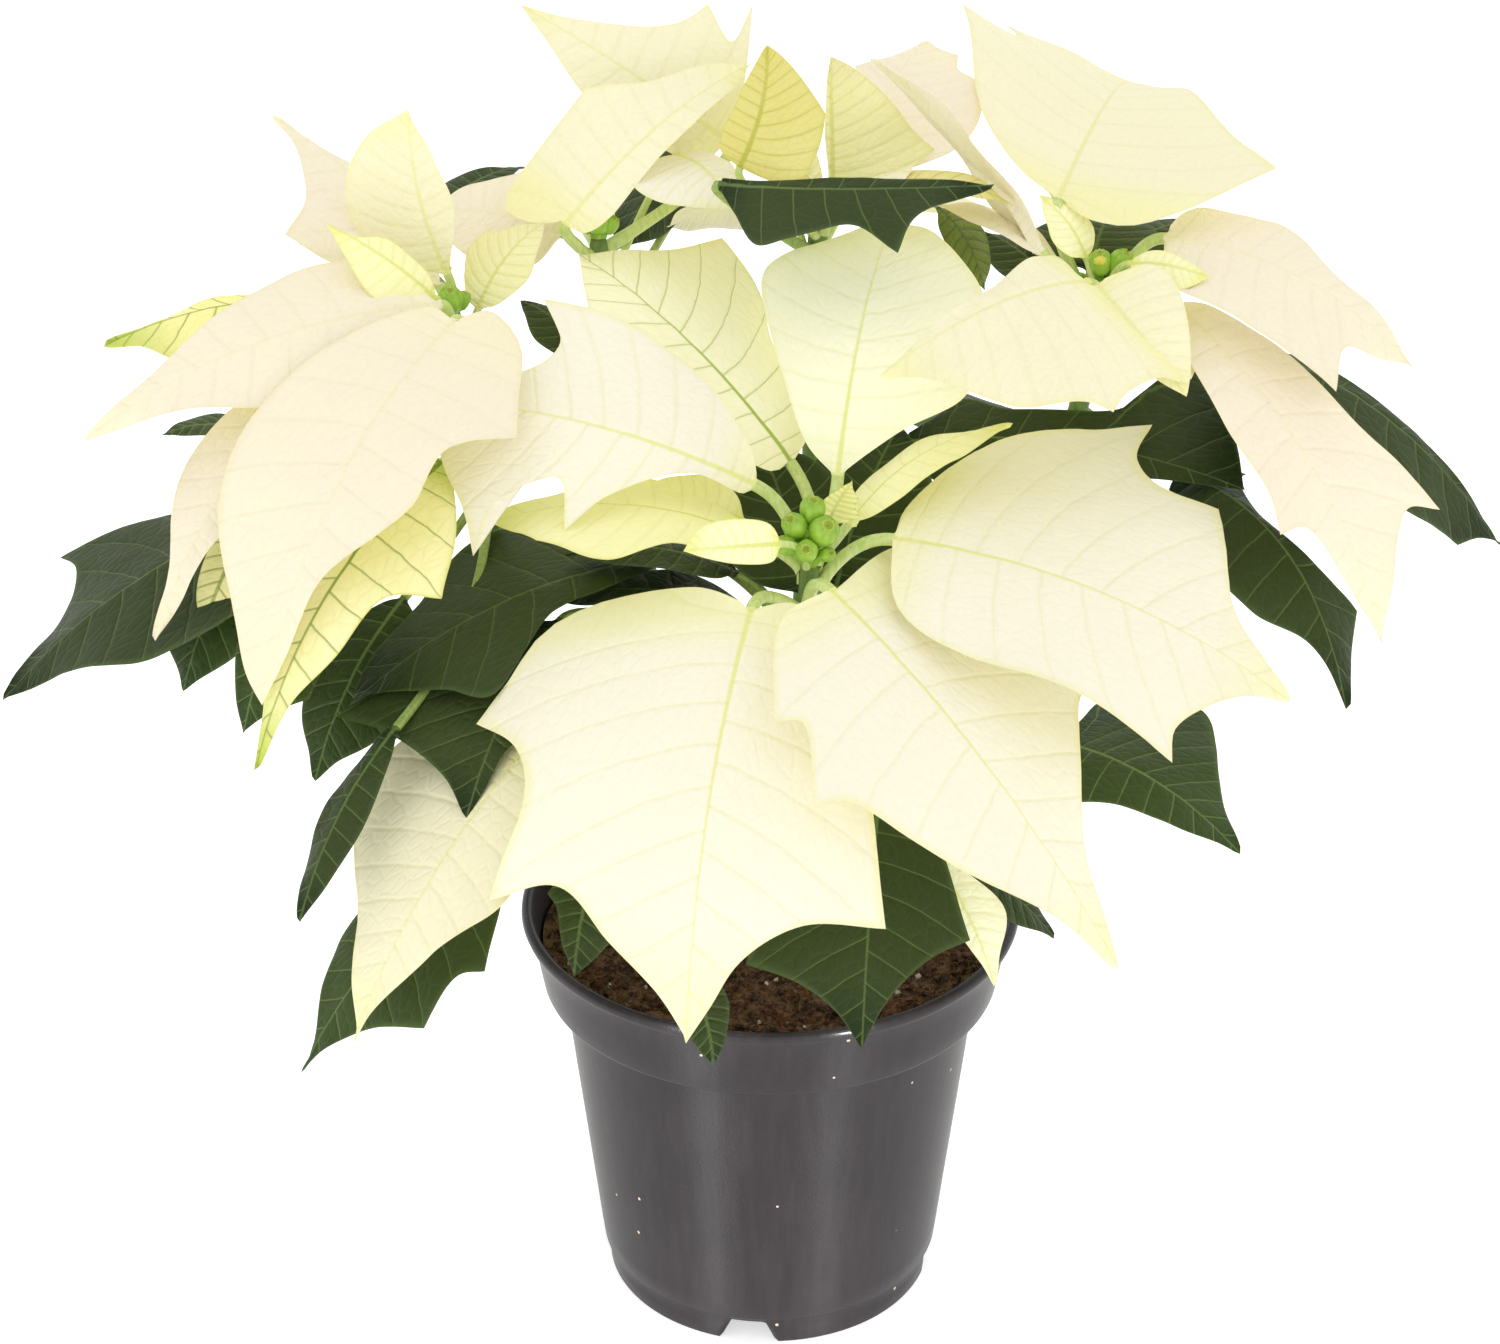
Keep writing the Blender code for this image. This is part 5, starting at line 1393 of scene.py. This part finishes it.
blade("leaf_r3", "leaf", "e", 22, (123, 66, 241), (189, 36, 196),
      [(.13, .06), (.25, .07), (.58, .06), (.85, .03)],
      [(.06, .15), (.19, .37), (.62, .36), (.90, .19, TOOTH), (.94, .07)], arch=.1, fold=6)
blade("leaf_r4", "leaf_soft", "a", 58, (72, -20, 169), (114, -50, 154),
      [(-.04, .25), (-.08, .57), (.31, .80), (.68, .32), (.88, .10)],
      [(.04, .12), (.22, .43), (.47, .26), (.81, .14), (.92, .05)], arch=.1, fold=6)
blade("leaf_f1", "leaf", "a", 38, (26, -52, 176), (21, -96, 128),
      [(.04, .06), (.18, .20), (.59, .37, TOOTH), (.67, .23), (.82, .09)],
      [(.04, .10), (.16, .28), (.73, .44, TOOTH), (.79, .24), (.89, .09)], arch=.1, fold=6)
blade("leaf_d1", "leaf", "d", 9, (-13, 38, 294), (54, 24, 299),
      [(.15, .05), (.50, .06), (.80, .04)],
      [(.08, .14), (.19, .30), (.30, .26), (.50, .17), (.69, .31, TOOTH), (.73, .17), (.84, .08)],
      arch=-.02, fold=6, roll=20)
blade("leaf_b1", "leaf", "b", 12, (-89, 85, 268), (-65, 112, 272),
      [(.10, .12), (.40, .20), (.70, .08)], [(.14, .07), (.43, .29), (.75, .12)], arch=.1, fold=6)
blade("leaf_c1", "leaf", "c", 24, (-13, 96, 290), (-41, 80, 260),
      [(.10, .12), (.42, .30), (.72, .35), (.90, .12)],
      [(.08, .10), (.26, .28), (.71, .31), (.90, .12)], arch=.07, fold=6)

# %% The far side, out of the photograph's sight
blade("bract_rear_c", "cream", "c", 8, (-52, 89, 267), (-84, 150, 232),
      [(-.04, .16), (.10, .36), (.30, .44, TOOTH), (.40, .34), (.62, .36, TOOTH), (.72, .18), (.88, .06)],
      [(-.04, .16), (.12, .34), (.36, .42, TOOTH), (.46, .33), (.66, .32, TOOTH), (.76, .14), (.90, .05)],
      arch=.12, fold=4, curl=12)
blade("bract_rear_d", "cream", "d", 15, (16, 88, 272), (30, 164, 232),
      [(-.05, .15), (.10, .34), (.34, .44, TOOTH), (.44, .34), (.66, .32, TOOTH), (.75, .16), (.90, .05)],
      [(-.04, .16), (.12, .36), (.32, .42, TOOTH), (.42, .33), (.60, .35, TOOTH), (.72, .16), (.88, .06)],
      arch=.12, fold=4, curl=12)
blade("leaf_rear_1", "leaf_soft", "c", 40, (-48, 98, 214), (-72, 168, 168),
      [(.00, .14), (.14, .34), (.34, .42, TOOTH), (.44, .32), (.64, .28), (.84, .10)],
      [(.00, .14), (.16, .36), (.38, .44, TOOTH), (.48, .33), (.66, .27), (.85, .09)], arch=.12, fold=8)
blade("leaf_rear_2", "leaf", "d", 44, (34, 104, 212), (62, 166, 160),
      [(.00, .14), (.15, .36), (.36, .43, TOOTH), (.46, .33), (.66, .28), (.85, .10)],
      [(.00, .14), (.14, .34), (.33, .42, TOOTH), (.43, .32), (.64, .28), (.84, .10)], arch=.12, fold=8)
blade("leaf_rear_3", "leaf", "b", 48, (-106, 66, 212), (-160, 102, 172),
      [(.00, .14), (.15, .36), (.36, .43, TOOTH), (.46, .33), (.66, .28), (.85, .10)],
      [(.00, .14), (.14, .34), (.33, .42, TOOTH), (.43, .32), (.64, .28), (.84, .10)], arch=.12, fold=8)

# %% Small extra blades between the larger ones
blade("bract_a9", "lemon", "a", 1, (2, -38, 232), (-21, -42, 232),
      [(.09, .17), (.46, .18), (.80, .09)], [(.10, .21), (.41, .28), (.83, .22)],
      arch=.1, fold=5, roll=-60, node=False)
blade("bract_b5", "lemon", "b", 1, (-83, 32, 266), (-110, 34, 285),
      [(.07, .15), (.40, .30), (.75, .16)], [(.20, .13), (.55, .16), (.78, .04)],
      fold=15, roll=-45, node=False)
blade("bract_b10", "primrose", "b", 3, (-74, 38, 261), (-57, 52, 279),
      [(.06, .30), (.40, .62), (.70, .60, TOOTH), (.78, .38), (.92, .14)],
      [(.12, .22), (.46, .34), (.80, .18)], fold=12, node=False)
blade("bract_d2", "primrose", "d", 1, (12, 52, 287), (-2, 54, 303),
      [(.15, .18), (.50, .30), (.80, .14)], [(.15, .18), (.50, .30), (.80, .14)], roll=-80, node=False)
blade("bract_e6", "lemon", "e", 2, (90, 44, 271), (109, 34, 271),
      [(.19, .19), (.72, .12)], [(.40, .36), (.80, .25)], arch=.1, fold=5, roll=35, node=False)
blade("bract_f3", "ivory", "a", 52, (37, -58, 160), (53, -78, 134),
      [(.21, .15), (.55, .30), (.86, .10)], [(.33, .14), (.71, .10)], node=False)
blade("leaf_l5", "leaf_soft", "b", 30, (-117, 6, 228), (-145, -22, 184),
      [(.46, .37), (.77, .23)], [(.28, .19), (.72, .33)], node=False)
blade("leaf_r5", "mottled", "d", 12, (43, 66, 278), (55, 58, 258),
      [(.20, .30), (.50, .42), (.80, .24)], [(.20, .22), (.60, .30), (.85, .14)], node=False)
blade("leaf_r6", "leaf", "e", 10, (88, 70, 261), (112, 92, 264),
      [(.15, .20), (.50, .34), (.80, .18)], [(.15, .20), (.50, .34), (.80, .18)], node=False)
blade("leaf_f2", "leaf", "a", 56, (-42, -50, 155), (-48, -66, 129),
      [(.15, .20), (.50, .34), (.80, .18)], [(.15, .20), (.40, .34, TOOTH), (.50, .24), (.80, .12)],
      node=False)
blade("bract_e5", "lemon", "e", 2, (80, 50, 270), (68, 60, 283),
      [(.10, .30), (.37, .43), (.69, .27)], [(.10, .20), (.33, .36), (.65, .32), (.90, .12)], node=False)
blade("bract_e7", "blush", "e", 4, (73, 46, 270), (41, 60, 281),
      [(.15, .10), (.50, .16), (.85, .08)], [(.20, .14), (.45, .24), (.80, .12)], arch=.08, node=False)
blade("bract_d6", "olive", "d", 3, (20, 57, 284), (61, 50, 284),
      [(.20, .12), (.50, .20), (.80, .12)], [(.20, .12), (.50, .20), (.80, .12)], arch=.14, node=False)
blade("bract_d7", "cream", "d", 4, (3, 47, 287), (37, 60, 292),
      [(.20, .05), (.50, .06), (.80, .04)], [(.10, .10), (.45, .20), (.80, .14)], arch=-.04, node=False)
blade("bract_a10", "net", "a", 1, (13, -25, 231), (19, -26, 243),
      [(.16, .30), (.45, .52, TOOTH), (.56, .34), (.80, .30, TOOTH), (.88, .12)],
      [(.16, .26), (.45, .40), (.70, .34, TOOTH), (.84, .14)], fold=36, roll=-70, node=False)
blade("bract_b12", "net", "b", 20, (-125, 5, 222), (-139, -22, 200),
      [(.15, .16), (.50, .26), (.80, .14)], [(.15, .14), (.50, .20), (.80, .12)], node=False)
blade("leaf_a2", "leaf", "a", 30, (8, -6, 203), (-3, 20, 232),
      [(.12, .30), (.40, .46), (.80, .30)], [(.12, .34), (.40, .52), (.80, .34)], node=False)
blade("leaf_a4", "leaf", "a", 34, (-8, -2, 207), (-52, 2, 210),
      [(.12, .16), (.40, .24), (.80, .14)], [(.12, .16), (.40, .24), (.80, .14)], node=False)
blade("leaf_a3", "leaf", "a", 30, (16, -1, 202), (33, 32, 232),
      [(.12, .26), (.40, .42), (.80, .30)], [(.12, .26), (.40, .42), (.80, .24)], node=False)
blade("leaf_f4", "leaf", "a", 62, (-20, -76, 140), (-14, -88, 118),
      [(.15, .18), (.50, .26), (.80, .14)], [(.15, .18), (.50, .26), (.80, .14)], node=False)
blade("leaf_f5", "leaf", "main", 4, (45, -30, 140), (71, -36, 121),
      [(.15, .16), (.50, .24), (.80, .14)], [(.15, .20), (.50, .34), (.80, .18)], node=False)
blade("leaf_l8", "leaf_soft", "b", 26, (-131, 40, 227), (-155, 32, 229),
      [(.15, .20), (.50, .30), (.80, .16)], [(.15, .20), (.50, .30), (.80, .16)], node=False)
blade("leaf_l9", "leaf", "b", 48, (-91, -40, 184), (-113, -70, 147),
      [(.15, .08), (.50, .13), (.80, .08)], [(.15, .10), (.50, .16), (.80, .10)], fold=30, node=False)
blade("leaf_b2", "leaf", "b", 12, (-88, 62, 262), (-124, 84, 261),
      [(.15, .18), (.50, .28), (.80, .14)], [(.15, .18), (.50, .28), (.80, .14)], node=False)
blade("leaf_c2", "leaf", "c", 40, (-42, 70, 228), (-67, 96, 240),
      [(.15, .18), (.50, .28), (.80, .14)], [(.15, .18), (.50, .28), (.80, .14)], node=False)
blade("leaf_e9", "leaf", "e", 10, (82, 62, 262), (90, 92, 266),
      [(.12, .36), (.40, .62), (.80, .36)], [(.12, .36), (.40, .62), (.80, .36)], node=False)
blade("leaf_e10", "leaf", "e", 16, (74, 68, 254), (56, 82, 265),
      [(.12, .30), (.45, .48), (.80, .28)], [(.12, .30), (.45, .48), (.80, .28)], node=False)
blade("bract_e8", "butter", "e", 8, (81, 34, 269), (102, 10, 249),
      [(.04, .20), (.08, .34), (.20, .42), (.46, .37), (.81, .18)], [(.10, .15), (.40, .20), (.80, .10)],
      roll=35, node=False)
blade("bract_d8", "blush", "d", 30, (3, 66, 276), (-27, 72, 270),
      [(.10, .25), (.40, .42), (.80, .26)], [(.10, .25), (.40, .42), (.80, .26)], roll=40, node=False)
blade("leaf_a5", "leaf", "a", 38, (-5, -7, 198), (-56, 2, 197),
      [(.10, .14), (.45, .22), (.80, .14)], [(.10, .14), (.45, .22), (.80, .14)], node=False)
blade("bract_a11", "lemon", "a", 3, (-7, -10, 225), (-34, -2, 229),
      [(.12, .14), (.45, .22), (.80, .12)], [(.12, .22), (.45, .34), (.80, .18)], roll=-20, node=False)

# %% Build every blade
faces = 0
for facts, shape in BLADES:
    length, count = build_blade(*facts, **shape)
    faces += count
print(len(BLADES), "blades,", faces, "faces")

# %% [markdown]
# ## The true flowers
#
# In the middle of each head sit small green cups, the cyathia. Each is a
# knob with five faint ribs and a ragged mouth, and a mature one carries a
# fleshy yellow gland like a pair of lips on one side. A cup is a lathe shape
# whose radius also swings five times round, so it needs only a function of
# height and angle.

# %% Finishes of the cups
cup_green = stalk_finish("cup_green", (168, 206, 72), (140, 184, 54), 0.24)
cup_tip = stalk_finish("cup_tip", (204, 222, 92), (184, 208, 76), 0.3)
gland_gold = stalk_finish("gland_gold", (226, 216, 84), (204, 200, 70), 0.25)


# %% One cup
# (radius in widths, height in heights) from the foot up the belly, over the mouth and back inside
CUP_SECTION = [(0.30, -0.5), (0.62, -0.45), (0.86, -0.33), (0.98, -0.12), (1.0, 0.08), (0.95, 0.24),
               (0.82, 0.36), (0.62, 0.44), (0.44, 0.49), (0.34, 0.50), (0.26, 0.46), (0.20, 0.45),
               (0.13, 0.48), (0.06, 0.49)]
CUP_RIBS, CUP_RAGS = 0.05, 0.06


def cup_rings(centre, axis, height, width):
    """Rings of a cup with section radius r at height h, both as shares, and angle a round the axis.

    The radius is width · r · (1 + 0.05 · cos 5a · (h + 0.5)). Round the mouth,
    where h is over 0.4, the height gains 0.06 · height · cos 10a.
    """
    section = np.array(CUP_SECTION)
    a = np.linspace(0, 2 * np.pi, 30, endpoint=False)
    swing = CUP_RIBS * np.cos(5 * a)[None] * np.clip(section[:, 1] + 0.5, 0, 1)[:, None]
    ragged = CUP_RAGS * np.cos(10 * a)[None] * (section[:, 1] > 0.4)[:, None]
    radius = width * (section[:, :1] * (1 + swing))
    level = height * (section[:, 1:] + ragged)
    axis = unit(np.array(axis, float))
    side = unit(np.cross(axis, [0.3, 1.0, 0.2]))
    other = np.cross(axis, side)
    flat = np.cos(a)[None, :, None] * side + np.sin(a)[None, :, None] * other
    return np.array(centre) + radius[..., None] * flat + level[..., None] * axis


def add_cup(name, centre, axis, height, width, gland):
    """A cup, its stalk-like foot and, if it has one, the gland on its side."""
    axis = unit(np.array(axis, float))
    rings = cup_rings(centre, axis, height, width)
    foot = np.array(centre) - axis * height * 0.5
    slots = np.where(np.arange(len(rings) - 1) < 8, 0, 1)
    mesh = closed_skin(name, rings, foot, np.array(centre) + axis * height * 0.5, slots=slots)
    pieces = [mesh]
    if gland is not None:
        way = unit(np.array(gland, float))
        middle = np.array(centre) + way * width * 0.95 + axis * height * 0.22
        lips = unit(np.cross(way, axis))
        path = middle + np.linspace(-1, 1, 12)[:, None] * lips * width * 0.55
        thick = width * 0.42 * np.sqrt(np.clip(1 - np.linspace(-0.96, 0.96, 12) ** 2, 0, 1))
        lips_skin = closed_skin(name + "_gland", tube(path, thick, 14, axis), path[0], path[-1],
                                slots=np.full(11, 2))
        pieces.append(lips_skin)
    return pieces


def joined(name, meshes):
    """One mesh from several, each keeping its own faces and material numbers."""
    points, faces, slots, total = [], [], [], 0
    for mesh in meshes:
        place = np.empty(len(mesh.vertices) * 3)
        mesh.vertices.foreach_get("co", place)
        points.append(place.reshape(-1, 3))
        faces += [[total + i for i in face.vertices] for face in mesh.polygons]
        slots += [face.material_index for face in mesh.polygons]
        total += len(mesh.vertices)
        bpy.data.meshes.remove(mesh)
    whole = bpy.data.meshes.new(name)
    whole.from_pydata(np.concatenate(points).tolist(), [], faces)
    whole.polygons.foreach_set("material_index", np.array(slots, np.int32))
    whole.shade_smooth()
    return whole


# %% The clusters
# Offsets in millimetres to the right, back and up from the top of the head's stem, then the size.
CLUSTERS = {
    "a": [((0.6, -2.0, 14.0), 6.6, 3.1), ((-3.6, -4.6, 11.0), 7.2, 3.0), ((3.2, -5.6, 10.2), 7.4, 3.6),
          ((-5.6, -6.6, 7.0), 5.4, 2.4), ((-0.8, -8.4, 6.4), 6.8, 2.7), ((-1.2, -2.6, 8.2), 6.0, 2.8),
          ((4.0, -6.6, 4.6), 5.2, 1.8), ((2.4, 1.4, 8.2), 5.6, 2.7), ((-3.6, 1.4, 7.2), 5.4, 2.6)],
    "b": [((0.7, -2.0, 8.4), 7.0, 3.2), ((-1.4, 2.6, 4.0), 5.0, 2.2), ((3.4, 1.0, 7.0), 4.8, 2.0)],
    "c": [((0.0, 0.0, 4.5), 6.0, 3.0), ((3.0, 1.0, 3.4), 4.8, 2.3), ((-2.6, 2.0, 3.0), 4.4, 2.1)],
    "d": [((0.0, 0.0, 4.5), 6.0, 3.0), ((3.0, 1.0, 3.4), 4.8, 2.3), ((-2.6, -1.6, 3.2), 4.4, 2.1)],
    "e": [((-0.6, -1.6, 9.4), 6.6, 3.0), ((4.4, -1.6, 9.6), 6.6, 3.0), ((0.2, 2.6, 5.4), 5.6, 2.8),
          ((0.4, -4.2, 3.4), 4.6, 2.2), ((-4.8, 1.6, 3.2), 4.2, 2.0)],
}
# Only the oldest cup of these heads has opened its gland.
GLANDED = ("c", "d", "e")
for name, cups in CLUSTERS.items():
    top = np.array(BRANCHES[name][3], float)
    meshes = []
    for number, (offset, height, width) in enumerate(cups):
        away = np.array(offset, float)
        axis = unit(away * [1, 1, 0.55] + [0, -0.6, 2.2])
        gland = away * [1, 1, 0] + [0.3, -2.0, 0.5] if name in GLANDED and number == 0 else None
        meshes += add_cup(f"cup_{name}_{number}", top + away, axis, height, width, gland)
        stalk = np.linspace(top + [0, 0, -1.5], top + away - axis * height * 0.42, 8)
        meshes.append(closed_skin("cup_stalk", tube(stalk, np.linspace(1.5, width * 0.4, 8), 12),
                                  stalk[0], stalk[-1], slots=np.zeros(7, int)))
    put(f"cyathia_{name}_cups", joined(f"cyathia_{name}_cups", meshes), [cup_green, cup_tip, gland_gold],
        "cyathia", "cyathia_" + name)
    print("head", name, "has", len(cups), "cups")
